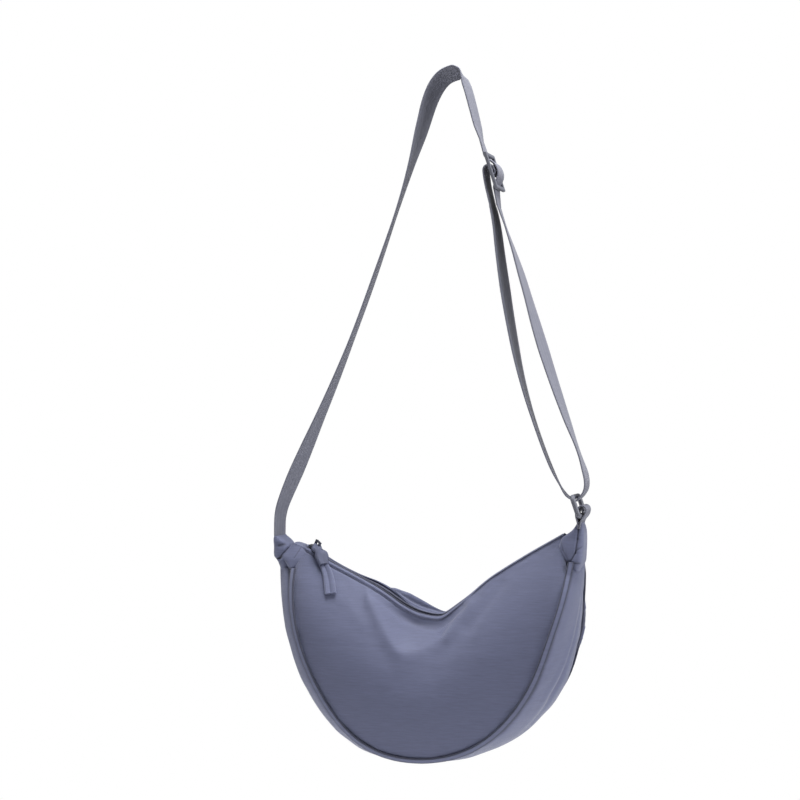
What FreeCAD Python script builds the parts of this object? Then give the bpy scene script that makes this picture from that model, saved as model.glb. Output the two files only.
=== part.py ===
# Half moon shoulder bag, hung by its strap.
# Frame: origin where the strap rests on a peg, +Z up, +X along the zip, the front panel faces -Y.
# Units are millimetres.
import FreeCAD, Part
import math
import os
import Sketcher
from FreeCAD import Placement, Rotation, Vector

doc = FreeCAD.newDocument("HalfMoonBag")
ACROSS = Vector(0, 1, 0)

# Driving sizes, one row each: alias, value, what it measures
SIZES = [
    ("strap_width", 25, "webbing width"),
    ("strap_thick", 1.4, "webbing thickness"),
    ("cloth_gap", 0.3, "clearance between sewn pieces"),
    ("bag_shift", -12, "middle of the bag from the peg, along the zip"),
    ("seam_level", 452, "drop from the peg to the ends of the seams"),
    ("seam_half_width", 131, "half width of the panels at the seam ends"),
    ("seam_depth", 165, "drop of the seams below their ends"),
    ("belly_left", 6.5, "extra fullness of the half moon at its lower left"),
    ("front_draw", 8.4, "front seam drawn in at the right flank"),
    ("gusset_end_width", 36, "gusset width at its two ends"),
    ("gusset_width", 74, "gusset width along the bottom"),
    ("crown_left", 18, "outward swell of the gusset at the left end"),
    ("crown_bottom", 7, "outward swell of the gusset at the bottom"),
    ("crown_right", 5.5, "outward swell of the gusset at the right end"),
    ("crown_flank", 3.2, "extra swell of the gusset halfway down its flanks"),
    ("panel_bulge", 24, "forward swell of each panel"),
    ("shell_thick", 1.2, "outer cloth"),
    ("lining_thick", 0.5, "lining cloth"),
    ("piping_diameter", 4.2, "bound seam"),
    ("mouth_width", 14, "gap between the panel edges at the zip"),
    ("zip_left_inset", 6, "left end of the zip inside the left seam ends"),
    ("zip_right_inset", 15, "right end of the zip inside the right seam ends"),
    ("zip_left_rise", 20, "left end of the zip above the seam ends"),
    ("zip_right_rise", 30, "right end of the zip above the seam ends"),
    ("valley_shift", 5.5, "lowest point of the zip from the bag's middle"),
    ("valley_drop", 40, "corner of the two zip runs below the seam ends"),
    ("valley_radius", 18, "bend of the zip between its two runs"),
    ("tape_thick", 0.6, "zip tape"),
    ("tape_inset", 1.0, "zip tape edge inside the panel edge"),
    ("coil_width", 2.6, "one half of the zip coil"),
    ("coil_height", 2.2, "zip coil"),
    ("coil_slot", 1.6, "running slot between the coil halves"),
    ("tab_wrap", 12, "left end tab along the zip"),
    ("tab_width", 25, "end tabs, front to back"),
    ("anchor_length", 16, "strap sleeve along the zip"),
    ("anchor_width", 29, "strap sleeve, front to back"),
    ("anchor_rise", 29, "strap sleeve above the seam ends"),
    ("anchor_slot", 16, "depth of the strap's seat in the sleeve"),
    ("anchor_seat", 11.2, "strap's seat from the inner end of the sleeve"),
    ("right_tab_rise", 45, "top of the right end tab above the seam ends"),
    ("right_tab_top", 8, "length of the right end tab's top"),
    ("right_tab_stand", 5, "outer face of the right end tab beyond the right seam ends"),
    ("loop_width", 21, "ring loop, front to back"),
    ("loop_thick", 1.5, "one layer of the ring loop"),
    ("loop_seat", 10, "ring loop inside the right end tab"),
    ("loop_stand", 6.5, "ring's lower bar above the right end tab"),
    ("ring_wire", 4.4, "ring wire diameter"),
    ("ring_inner_width", 27, "opening of the ring, front to back"),
    ("ring_inner_height", 13, "opening of the ring between its bars"),
    ("ring_corner", 3.4, "ring corner radius at the middle of the wire"),
    ("ring_lean", 19, "lean of the ring towards the strap, degrees"),
    ("adjuster_x", 41, "adjuster's middle from the peg, along the zip"),
    ("adjuster_drop", 95, "adjuster's middle below the peg"),
    ("adjuster_lean", 18, "lean of the strap at the adjuster, degrees"),
    ("adjuster_bar", 3.4, "each bar of the adjuster"),
    ("adjuster_slot", 12, "each slot of the adjuster, along the strap"),
    ("adjuster_thick", 3, "adjuster plate"),
    ("adjuster_cheek", 3.2, "each side of the adjuster"),
    ("adjuster_play", 0.5, "room at each edge of the strap"),
    ("adjuster_lead", 13, "straight webbing beyond the adjuster's weave"),
    ("front_droop", 5.5, "front run's fall behind the line of the adjuster"),
    ("sewn_setback", 2, "strap's sewn end from the end of the weave"),
    ("sewn_droop", 7, "sewn end's fall behind the adjuster"),
    ("peg_left", 6.5, "bend of the strap left of the peg's middle"),
    ("peg_right", 8.5, "bend of the strap right of the peg's middle"),
    ("anchor_lead", 17, "straight webbing above the strap sleeve"),
    ("front_leg_spread", 10, "front run to the right of the ring's upper bar"),
    ("return_leg_spread", 12, "return run to the left of the ring's upper bar"),
    ("front_leg_rise", 13, "bend of the front run above the ring's upper bar"),
    ("return_leg_rise", 7, "bend of the return run above the ring's upper bar"),
    ("slider_rest", 10, "slider's middle from the left end of the zip"),
    ("slider_length", 12, "zip slider along the zip"),
    ("slider_wall", 1.2, "slider's top and bottom plates"),
    ("slider_flange", 0.9, "slider's side flanges"),
    ("slider_wedge", 1.0, "slider's dividing wedge"),
    ("slider_wedge_length", 3, "slider's dividing wedge along the zip"),
    ("crown_length", 9, "bail on the slider, outside"),
    ("crown_height", 6, "bail above the slider"),
    ("crown_strip", 1.2, "bail strip thickness"),
    ("crown_width", 2.4, "bail strip width"),
    ("pull_turn", 47, "turn of the bail and pull towards the front, degrees"),
    ("pull_drop", 12, "slope of the pull tab below the zip, degrees"),
    ("pull_width", 11.5, "pull tab width"),
    ("pull_thick", 1.6, "pull tab thickness"),
    ("pull_bar", 2.0, "round bars of the pull tab"),
    ("pull_reach", 16, "distance between the bars of the pull tab"),
    ("pull_eye_length", 6.4, "upper eye of the pull tab from its bar"),
    ("pull_eye_width", 4.6, "upper eye of the pull tab"),
    ("puller_width", 8, "cloth puller"),
    ("puller_thick", 1.1, "one layer of the cloth puller"),
    ("puller_length", 38, "cloth puller from the pull tab's lower bar"),
    ("puller_drop", 32, "slope of the cloth puller below the zip, degrees"),
]
sheet = doc.addObject("Spreadsheet::Sheet", "Sizes")
for row, (alias, value, note) in enumerate(SIZES, start=1):
    sheet.set(f"A{row}", note)
    sheet.set(f"B{row}", str(value))
    sheet.setAlias(f"B{row}", alias)
doc.recompute()


def size(alias):
    return float(getattr(sheet, alias))


nodes = []


def keep(obj, label):
    obj.Label = label
    nodes.append(obj)
    return obj


def keep_shape(label, shape):
    obj = doc.addObject("Part::Feature", label)
    obj.Shape = shape
    return keep(obj, label)


# Zip line: two straight runs and the bend between them, in the plane of the zip
SEAM_Z = -size("seam_level")
BAG_X = size("bag_shift")
SEAM_LEFT_X = BAG_X - size("seam_half_width")
SEAM_RIGHT_X = BAG_X + size("seam_half_width")
ZIP_LEFT = Vector(SEAM_LEFT_X + size("zip_left_inset"), 0, SEAM_Z + size("zip_left_rise"))
ZIP_RIGHT = Vector(SEAM_RIGHT_X - size("zip_right_inset"), 0, SEAM_Z + size("zip_right_rise"))
ZIP_CORNER = Vector(BAG_X + size("valley_shift"), 0, SEAM_Z - size("valley_drop"))


def unit(vector):
    return Vector(vector).normalize()


def corner_arc(before, corner, after, radius):
    """Tangent arc at a corner of a route: start, middle, end, centre and turning side."""
    inward = unit(corner - before)
    outward = unit(after - corner)
    turn = inward.getAngle(outward)
    side = 1 if inward.cross(outward).y < 0 else -1
    cut = radius * math.tan(turn / 2)
    start = corner - inward * cut
    end = corner + outward * cut
    centre = start + Vector(-inward.z, 0, inward.x) * (radius * side)
    middle = centre + unit(corner - centre) * radius
    return start, middle, end, centre, side


def zip_height(x):
    """Height of the zip line at x."""
    start, middle, end, centre, side = corner_arc(ZIP_LEFT, ZIP_CORNER, ZIP_RIGHT, size("valley_radius"))
    if x <= start.x:
        share = (x - ZIP_LEFT.x) / (start.x - ZIP_LEFT.x)
        return ZIP_LEFT.z + (start.z - ZIP_LEFT.z) * share
    if x >= end.x:
        share = (x - end.x) / (ZIP_RIGHT.x - end.x)
        return end.z + (ZIP_RIGHT.z - end.z) * share
    return centre.z - math.sqrt(size("valley_radius") ** 2 - (x - centre.x) ** 2)


# Flat bands: strap, zip tape and coil follow a route of straight runs joined by tangent arcs
ROUND_SHARE = 0.45


def free_radius(before, corner, after):
    """The largest arc that the two runs at a corner leave room for."""
    turn = unit(corner - before).getAngle(unit(after - corner))
    shorter = min((corner - before).Length, (after - corner).Length)
    return ROUND_SHARE * shorter / math.tan(turn / 2)


def band(points, thickness, low, high, radius=None):
    """A band of this thickness along the route, from y = low to y = high."""
    half = thickness / 2
    arcs = []
    for before, corner, after in zip(points, points[1:], points[2:]):
        bend = radius or free_radius(before, corner, after)
        arcs.append(corner_arc(before, corner, after, bend))

    def side_edges(offset):
        edges = []
        last = points[0]
        for index, target in enumerate(points[1:]):
            along = unit(target - points[index])
            normal = Vector(-along.z, 0, along.x) * offset
            stop = arcs[index][0] if index < len(arcs) else target
            edges.append(Part.LineSegment(last + normal, stop + normal).toShape())
            if index < len(arcs):
                start, middle, end, centre, side = arcs[index]
                after = unit(points[index + 2] - target)
                after_normal = Vector(-after.z, 0, after.x) * offset
                bend = (middle - centre).Length
                middle_off = centre + (middle - centre) * ((bend - side * offset) / bend)
                edges.append(Part.Arc(start + normal, middle_off, end + after_normal).toShape())
                last = end
        return edges

    left = side_edges(half)
    right = side_edges(-half)
    ends = []
    for at, along in ((points[0], points[1] - points[0]), (points[-1], points[-1] - points[-2])):
        normal = Vector(-along.z, 0, along.x).normalize() * half
        ends.append(Part.LineSegment(at + normal, at - normal).toShape())
    wire = Part.Wire(Part.__sortEdges__(left + right + ends))
    face = Part.Face(wire)
    face.translate(ACROSS * low)
    return face.extrude(ACROSS * (high - low))


def strap_band(points, radius=None):
    half = size("strap_width") / 2
    return band(points, size("strap_thick"), -half, half, radius)


# Curved cloth: a sheet follows a formula, and its solid lies between two offset surfaces
ALONG_STEPS = 16
DOWN_STEPS = 8
SLOPE_STEP = 0.004


def sheet_normal(formula, along, down, toward):
    """Unit normal of a formula's sheet, turned to the side of the vector that toward gives."""
    low_a, high_a = max(along - SLOPE_STEP, 0), min(along + SLOPE_STEP, 1)
    low_d, high_d = max(down - SLOPE_STEP, 0), min(down + SLOPE_STEP, 1)
    slope_a = formula(high_a, down) - formula(low_a, down)
    slope_d = formula(along, high_d) - formula(along, low_d)
    normal = unit(slope_a.cross(slope_d))
    return normal if normal.dot(toward(along)) > 0 else normal * -1


def cloth(formula, toward, inset, depth):
    """A closed solid from inset to depth behind the sheet that the formula gives."""
    surfaces = []
    for offset in (inset, depth):
        grid = []
        for step in range(ALONG_STEPS + 1):
            along = step / ALONG_STEPS
            line = []
            for drop in range(DOWN_STEPS + 1):
                down = drop / DOWN_STEPS
                normal = sheet_normal(formula, along, down, toward)
                line.append(formula(along, down) - normal * offset)
            grid.append(line)
        surface = Part.BSplineSurface()
        surface.interpolate(grid)
        surfaces.append(surface)
    front, back = surfaces
    u0, u1, v0, v1 = front.bounds()
    faces = [front.toShape(), back.toShape()]
    for take, at in (("uIso", u0), ("uIso", u1), ("vIso", v0), ("vIso", v1)):
        near = getattr(front, take)(at).toShape()
        far = getattr(back, take)(at).toShape()
        faces.append(Part.makeRuledSurface(near, far))
    shell = Part.makeShell(faces)
    shell.sewShape()
    solid = Part.makeSolid(shell)
    if solid.Volume < 0:
        solid.reverse()
    return solid


GUSSET_RISE_POWER = 5


def gusset_half(turn):
    """Half the gusset's width: narrow at the two ends, full width soon after."""
    narrow = size("gusset_end_width") / 2
    wide = size("gusset_width") / 2
    return narrow + (wide - narrow) * (1 - (1 - math.sin(turn)) ** GUSSET_RISE_POWER)


# Turns at which the half moon is fullest and its front seam is drawn in most, and how far each spreads
BELLY_TURN = math.radians(65)
BELLY_SPREAD = math.radians(22)
DRAW_TURN = math.radians(150)
DRAW_SPREAD = math.radians(24)


def seam_shift(turn, side):
    """How far the seam lies outside a plain half ellipse: the full belly less the drawn front flank."""
    belly = size("belly_left") * math.exp(-((turn - BELLY_TURN) / BELLY_SPREAD) ** 2)
    draw = size("front_draw") * math.exp(-((turn - DRAW_TURN) / DRAW_SPREAD) ** 2)
    return belly - draw * (1 - side) / 2


def seam_point(turn, side, room=0):
    """Seam between a panel and the gusset, or a line that runs room inside it.

    Turn is 0 at the left end and pi at the right end. Side runs from -1 at the front to 1 at the back.
    """
    x = BAG_X - (size("seam_half_width") - room) * math.cos(turn)
    z = SEAM_Z - (size("seam_depth") - room) * math.sin(turn)
    return Vector(x, side * gusset_half(turn), z) + outward_at(turn) * seam_shift(turn, side)


def mouth_point(turn, side):
    """Top edge of a panel, beside the zip."""
    share = (1 - math.cos(turn)) / 2
    x = ZIP_LEFT.x + (ZIP_RIGHT.x - ZIP_LEFT.x) * share
    return Vector(x, side * size("mouth_width") / 2, zip_height(x))


BULGE_SKEW = 0.85


def panel_sheet(side, seam_room):
    """Formula of a panel, which stops short of its seam by seam_room."""
    def at(along, down):
        turn = math.pi * along
        top = mouth_point(turn, side)
        low = seam_point(turn, side, seam_room)
        swell = size("panel_bulge") * math.sin(turn) * math.sin(math.pi * down ** BULGE_SKEW)
        return top + (low - top) * down + Vector(0, side * swell, 0)
    return at


def outward_at(turn):
    """Direction straight out of the gusset."""
    return unit(Vector(-math.cos(turn) / size("seam_half_width"), 0, -math.sin(turn) / size("seam_depth")))


FLANK_LEAN = 0.56


def gusset_swell(turn):
    left, low, right = size("crown_left"), size("crown_bottom"), size("crown_right")
    reach = math.cos(turn)
    flank = size("crown_flank") * (1 - FLANK_LEAN * reach) * math.sin(2 * turn) ** 2
    return low + (left - right) / 2 * reach + ((left + right) / 2 - low) * reach ** 2 + flank


def gusset_sheet(seam_room):
    """Formula of the gusset, which stops short of both seams by seam_room."""
    def at(along, down):
        turn = math.pi * along
        half = gusset_half(turn)
        share = (2 * down - 1) * (1 - seam_room / half)
        swell = gusset_swell(turn) * (1 - share ** 2)
        return seam_point(turn, share) + outward_at(turn) * swell
    return at


LINING_END_SHARE = 0.03


def lining_sheet(formula):
    """The same sheet, ended a little short of both tips, where the end tabs close the bag."""
    def at(along, down):
        return formula(LINING_END_SHARE + along * (1 - 2 * LINING_END_SHARE), down)
    return at


def build_cloth():
    shell = size("shell_thick")
    lining_in = shell + size("cloth_gap")
    lining_out = lining_in + size("lining_thick")
    room = size("piping_diameter") / 2 + size("cloth_gap")
    lining_room = room + lining_out
    for side, name in ((-1, "front"), (1, "rear")):
        def facing(along, side=side):
            return Vector(0, side, 0)
        keep_shape(f"{name}_panel", cloth(panel_sheet(side, room), facing, 0, shell))
        lining = lining_sheet(panel_sheet(side, lining_room))
        keep_shape(f"{name}_lining", cloth(lining, facing, lining_in, lining_out))

    def outward(along):
        return outward_at(math.pi * along)
    lining = lining_sheet(gusset_sheet(lining_room))
    keep_shape("gusset", cloth(gusset_sheet(room), outward, 0, shell))
    keep_shape("gusset_lining", cloth(lining, outward, lining_in, lining_out))


PIPING_STATIONS = 24


def build_piping():
    """A round bound seam along each edge of the gusset."""
    for side, name in ((-1, "front_piping"), (1, "rear_piping")):
        rings = []
        for step in range(PIPING_STATIONS + 1):
            turn = math.pi * step / PIPING_STATIONS
            before = seam_point(max(turn - SLOPE_STEP, 0), side)
            after = seam_point(min(turn + SLOPE_STEP, math.pi), side)
            circle = Part.Circle(seam_point(turn, side), after - before, size("piping_diameter") / 2)
            rings.append(Part.Wire(circle.toShape()))
        keep_shape(name, Part.makeLoft(rings, True, False))


def build_zip():
    """Tapes and coil halves along the zip line."""
    route = [ZIP_LEFT, ZIP_CORNER, ZIP_RIGHT]
    inner = size("coil_slot") / 2
    outer = inner + size("coil_width")
    edge = size("mouth_width") / 2 - size("tape_inset")
    bend = size("valley_radius")
    for side, name in ((-1, "front"), (1, "rear")):
        tape = band(route, size("tape_thick"), *sorted((side * outer, side * edge)), bend)
        coil = band(route, size("coil_height"), *sorted((side * inner, side * outer)), bend)
        keep_shape(f"zip_tape_{name}", tape)
        keep_shape(f"zip_coil_{name}", coil)


# Sketched pieces
def plane_of(body, role):
    for feature in body.Origin.OriginFeatures:
        if feature.Role == role:
            return feature


def sketch_on(body, name, role):
    sketch = body.newObject("Sketcher::SketchObject", name)
    sketch.AttachmentSupport = (plane_of(body, role), [""])
    sketch.MapMode = "FlatFace"
    return sketch


def bind(sketch, constraint, expression):
    """Add a dimension to a sketch and tie it to the sheet."""
    index = sketch.addConstraint(constraint)
    sketch.setExpression(f"Constraints[{index}]", expression)


def polygon(sketch, corners):
    """A closed outline whose corners are pairs of value and expression for each coordinate."""
    first = sketch.GeometryCount
    places = [Vector(across[0], up[0], 0) for across, up in corners]
    count = len(places)
    for index in range(count):
        line = Part.LineSegment(places[index], places[(index + 1) % count])
        sketch.addGeometry(line, False)
    for index in range(count):
        here = first + index
        after = first + (index + 1) % count
        sketch.addConstraint(Sketcher.Constraint("Coincident", here, 2, after, 1))
    for index, (across, up) in enumerate(corners):
        here = first + index
        bind(sketch, Sketcher.Constraint("DistanceX", -1, 1, here, 1, across[0]), across[1])
        bind(sketch, Sketcher.Constraint("DistanceY", -1, 1, here, 1, up[0]), up[1])


def value_of(expression):
    """Value of an expression over the sheet, for a sketch's first guess."""
    return float(sheet.evalExpression(expression.replace("Sizes.", "")))


def pair(across, up):
    return (value_of(across), across), (value_of(up), up)


def rectangle(half_across, low, high):
    return [pair(f"-({half_across})", low), pair(half_across, low),
            pair(half_across, high), pair(f"-({half_across})", high)]


def pad(body, sketch, length):
    feature = body.newObject("PartDesign::Pad", sketch.Name + "Pad")
    feature.Profile = sketch
    feature.setExpression("Length", length)
    feature.Midplane = True
    sketch.Visibility = False
    return feature


def prism(label, corners, depth):
    """A sketched outline in the plane of the zip, padded front to back."""
    body = doc.addObject("PartDesign::Body", label)
    sketch = sketch_on(body, label + "_outline", "XZ_Plane")
    polygon(sketch, corners)
    pad(body, sketch, depth)
    return keep(body, label)


SEAM_LEFT = "(Sizes.bag_shift - Sizes.seam_half_width)"
SEAM_RIGHT = "(Sizes.bag_shift + Sizes.seam_half_width)"
ROOT_X = f"({SEAM_LEFT} + Sizes.zip_left_inset - Sizes.tab_wrap - Sizes.anchor_seat)"
SEAT_HALF = "(Sizes.strap_thick / 2 + Sizes.cloth_gap)"
LOOP_X = f"({SEAM_RIGHT} + Sizes.right_tab_stand - Sizes.right_tab_top / 2)"
LOOP_HALF = "(Sizes.loop_thick + Sizes.cloth_gap)"


def build_tips():
    """End tabs at both ends of the zip, and the strap's sleeve at the left tip."""
    gap = "Sizes.cloth_gap"
    floor = f"-Sizes.seam_level + {gap}"
    zip_left = f"{SEAM_LEFT} + Sizes.zip_left_inset"
    zip_left_top = "-Sizes.seam_level + Sizes.zip_left_rise"
    sleeve_right = f"{zip_left} - Sizes.tab_wrap"
    sleeve_left = f"{sleeve_right} - Sizes.anchor_length"
    sleeve_top = "-Sizes.seam_level + Sizes.anchor_rise"
    shoulder = f"({zip_left_top} + {sleeve_top}) / 2"
    prism("left_end_tab", [
        pair(f"{zip_left} - {gap}", f"{zip_left_top} + Sizes.tape_thick"),
        pair(sleeve_right, shoulder),
        pair(sleeve_right, floor),
        pair(f"{SEAM_LEFT} - {gap}", floor),
    ], "Sizes.tab_width")
    prism("strap_anchor", [
        pair(f"{sleeve_right} - {gap}", floor),
        pair(f"{sleeve_right} - {gap}", shoulder),
        pair(f"{ROOT_X} + {SEAT_HALF} + Sizes.strap_thick", sleeve_top),
        pair(f"{ROOT_X} + {SEAT_HALF}", sleeve_top),
        pair(f"{ROOT_X} + {SEAT_HALF}", f"{sleeve_top} - Sizes.anchor_slot"),
        pair(f"{ROOT_X} - {SEAT_HALF}", f"{sleeve_top} - Sizes.anchor_slot"),
        pair(f"{ROOT_X} - {SEAT_HALF}", sleeve_top),
        pair(f"{ROOT_X} - {SEAT_HALF} - Sizes.strap_thick", sleeve_top),
        pair(sleeve_left, shoulder),
        pair(f"{ROOT_X} - {SEAT_HALF} - Sizes.strap_thick", floor),
    ], "Sizes.anchor_width")
    zip_right = f"{SEAM_RIGHT} - Sizes.zip_right_inset"
    zip_right_top = "-Sizes.seam_level + Sizes.zip_right_rise"
    tab_right = f"{SEAM_RIGHT} + Sizes.right_tab_stand"
    tab_top = "-Sizes.seam_level + Sizes.right_tab_rise"
    tab_seat = f"{tab_top} - Sizes.loop_seat"
    prism("right_end_tab", [
        pair(f"{zip_right} + {gap}", f"{zip_right_top} + Sizes.tape_thick"),
        pair(f"{SEAM_RIGHT} + {gap}", floor),
        pair(tab_right, floor),
        pair(tab_right, tab_top),
        pair(f"{LOOP_X} + {LOOP_HALF}", tab_top),
        pair(f"{LOOP_X} + {LOOP_HALF}", tab_seat),
        pair(f"{LOOP_X} - {LOOP_HALF}", tab_seat),
        pair(f"{LOOP_X} - {LOOP_HALF}", tab_top),
        pair(f"{tab_right} - Sizes.right_tab_top", tab_top),
    ], "Sizes.tab_width")


# Folded loops: a strip turned round a bar, its two layers sewn together below
def folded_loop(label, bar, layer, width, legs):
    """The bar lies on Y at the origin and the legs hang down -Z."""
    gap = "Sizes.cloth_gap"
    outer = doc.addObject("Part::Cylinder", label + "_turn")
    outer.setExpression("Radius", f"{bar} / 2 + {gap} + {layer}")
    tail = doc.addObject("Part::Box", label + "_legs")
    tail.setExpression("Length", f"2 * {layer}")
    tail.setExpression("Height", legs)
    tail.setExpression("Placement.Base.x", f"-{layer}")
    tail.setExpression("Placement.Base.z", f"-({legs})")
    hole = doc.addObject("Part::Cylinder", label + "_eye")
    hole.setExpression("Radius", f"{bar} / 2 + {gap}")
    for round_part in (outer, hole):
        round_part.setExpression("Height", width)
        round_part.Placement = Placement(Vector(0, 0, 0), Rotation(Vector(1, 0, 0), -90))
        round_part.setExpression("Placement.Base.y", f"-{width} / 2")
    tail.setExpression("Width", width)
    tail.setExpression("Placement.Base.y", f"-{width} / 2")
    whole = doc.addObject("Part::Fuse", label + "_strip")
    whole.Base = outer
    whole.Tool = tail
    cut = doc.addObject("Part::Cut", label)
    cut.Base = whole
    cut.Tool = hole
    return keep(cut, label)


LOOP_AXIS = Vector(value_of(LOOP_X), 0, SEAM_Z + size("right_tab_rise") + size("loop_stand"))
RING_UP = Vector(-math.sin(math.radians(size("ring_lean"))), 0, math.cos(math.radians(size("ring_lean"))))
RING_TOP = LOOP_AXIS + RING_UP * (size("ring_inner_height") + size("ring_wire"))


def build_ring():
    """Wire ring, its lower bar in the ring loop and its upper bar in the strap."""
    loop = folded_loop("ring_loop", "Sizes.ring_wire", "Sizes.loop_thick", "Sizes.loop_width",
                       "Sizes.loop_stand + Sizes.loop_seat - Sizes.cloth_gap")
    loop.Placement.Base = LOOP_AXIS
    body = doc.addObject("PartDesign::Body", "ring")
    spine = sketch_on(body, "ring_line", "YZ_Plane")
    half = (size("ring_inner_width") + size("ring_wire")) / 2
    tall = size("ring_inner_height") + size("ring_wire")
    bend = size("ring_corner")
    corners = [(half - bend, bend, 270), (half - bend, tall - bend, 0),
               (bend - half, tall - bend, 90), (bend - half, bend, 180)]
    for across, up, angle in corners:
        circle = Part.Circle(Vector(across, up, 0), Vector(0, 0, 1), bend)
        arc = Part.ArcOfCircle(circle, math.radians(angle), math.radians(angle + 90))
        spine.addGeometry(arc, False)
    for first in range(4):
        after = (first + 1) % 4
        leave = spine.Geometry[first].EndPoint
        enter = spine.Geometry[after].StartPoint
        spine.addGeometry(Part.LineSegment(leave, enter), False)
        line = spine.GeometryCount - 1
        spine.addConstraint(Sketcher.Constraint("Tangent", first, 2, line, 1))
        spine.addConstraint(Sketcher.Constraint("Tangent", line, 2, after, 1))
    for first in range(1, 4):
        spine.addConstraint(Sketcher.Constraint("Equal", 0, first))
    spine.addConstraint(Sketcher.Constraint("Horizontal", 7))
    spine.addConstraint(Sketcher.Constraint("Vertical", 4))
    spine.addConstraint(Sketcher.Constraint("Horizontal", 5))
    spine.addConstraint(Sketcher.Constraint("Symmetric", 7, 1, 7, 2, -1, 1))
    bind(spine, Sketcher.Constraint("Radius", 0, bend), "Sizes.ring_corner")
    bind(spine, Sketcher.Constraint("DistanceX", 7, 1, 7, 2, 2 * (half - bend)),
         "Sizes.ring_inner_width + Sizes.ring_wire - 2 * Sizes.ring_corner")
    bind(spine, Sketcher.Constraint("DistanceY", 7, 2, 5, 1, tall),
         "Sizes.ring_inner_height + Sizes.ring_wire")
    section = sketch_on(body, "ring_section", "XZ_Plane")
    section.addGeometry(Part.Circle(Vector(0, 0, 0), Vector(0, 0, 1), size("ring_wire") / 2), False)
    section.addConstraint(Sketcher.Constraint("Coincident", 0, 3, -1, 1))
    bind(section, Sketcher.Constraint("Diameter", 0, size("ring_wire")), "Sizes.ring_wire")
    doc.recompute()
    pipe = body.newObject("PartDesign::AdditivePipe", "ring_sweep")
    pipe.Profile = section
    pipe.Spine = (spine, [])
    body.Placement = Placement(LOOP_AXIS, Rotation(Vector(0, 1, 0), -size("ring_lean")))
    keep(body, "ring")


# Adjuster: a plate with two slots on the strap, its bars across the webbing
LEAN = math.radians(size("adjuster_lean"))
ADJUSTER = Vector(size("adjuster_x"), 0, -size("adjuster_drop"))
ADJUSTER_DOWN = Vector(math.sin(LEAN), 0, -math.cos(LEAN))
ADJUSTER_OUT = Vector(math.cos(LEAN), 0, math.sin(LEAN))


def beside_adjuster(down, out):
    """A point measured along the strap and outward from the adjuster's middle."""
    return ADJUSTER + ADJUSTER_DOWN * down + ADJUSTER_OUT * out


def build_adjuster():
    body = doc.addObject("PartDesign::Body", "triglide")
    sketch = sketch_on(body, "triglide_outline", "XY_Plane")
    inside = "(Sizes.strap_width / 2 + Sizes.adjuster_play)"
    middle = "Sizes.adjuster_bar / 2"
    far = f"({middle} + Sizes.adjuster_slot)"
    edge = f"({far} + Sizes.adjuster_bar)"
    polygon(sketch, rectangle(f"{inside} + Sizes.adjuster_cheek", f"-{edge}", edge))
    polygon(sketch, rectangle(inside, middle, far))
    polygon(sketch, rectangle(inside, f"-{far}", f"-{middle}"))
    plate = pad(body, sketch, "Sizes.adjuster_thick")
    doc.recompute()
    rims = []
    for index, rim in enumerate(plate.Shape.Edges, start=1):
        flat = abs(rim.Vertexes[0].Z - rim.Vertexes[1].Z) < 0.01
        if flat:
            rims.append(f"Edge{index}")
    fillet = body.newObject("PartDesign::Fillet", "triglide_rounding")
    fillet.Base = (plate, rims)
    fillet.setExpression("Radius", "Sizes.adjuster_thick / 4")
    turned = Rotation(ACROSS, ADJUSTER_DOWN * -1, ADJUSTER_OUT, "XYZ")
    body.Placement = Placement(ADJUSTER, turned)
    keep(body, "triglide")


# Strap: one length of webbing, in stretches that meet end to end
def middle_of(first, second):
    return (first + second) * 0.5


# How each run hangs: share of the way along it, and its bow to the side as a share of its length
LEFT_HANG_SHARES = [(0.032, 0.0055), (0.14, 0.0007), (0.384, -0.015), (0.676, -0.013), (0.883, -0.001)]
UPPER_HANG_SHARES = [(0.59, -0.018)]
FRONT_HANG_SHARES = [(0.18, -0.002), (0.459, -0.0095), (0.72, -0.0042), (0.893, 0.004)]
RETURN_HANG_SHARES = [(0.122, -0.018), (0.356, -0.037), (0.609, -0.0494), (0.872, -0.0288)]
WEAVE_DIVE_SHARE = 0.88
WEAVE_CREST_SHARE = 0.26
WEAVE_BEND_RATIO = 2
SEWN_BEND_RATIO = 0.7
SEWN_DROOP_SHARE = 0.75


def hanging(start, end, places):
    """Points of a run that hangs from start to end."""
    line = end - start
    aside = Vector(-line.z, 0, line.x)
    return [start + line * share + aside * bow for share, bow in places]


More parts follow.
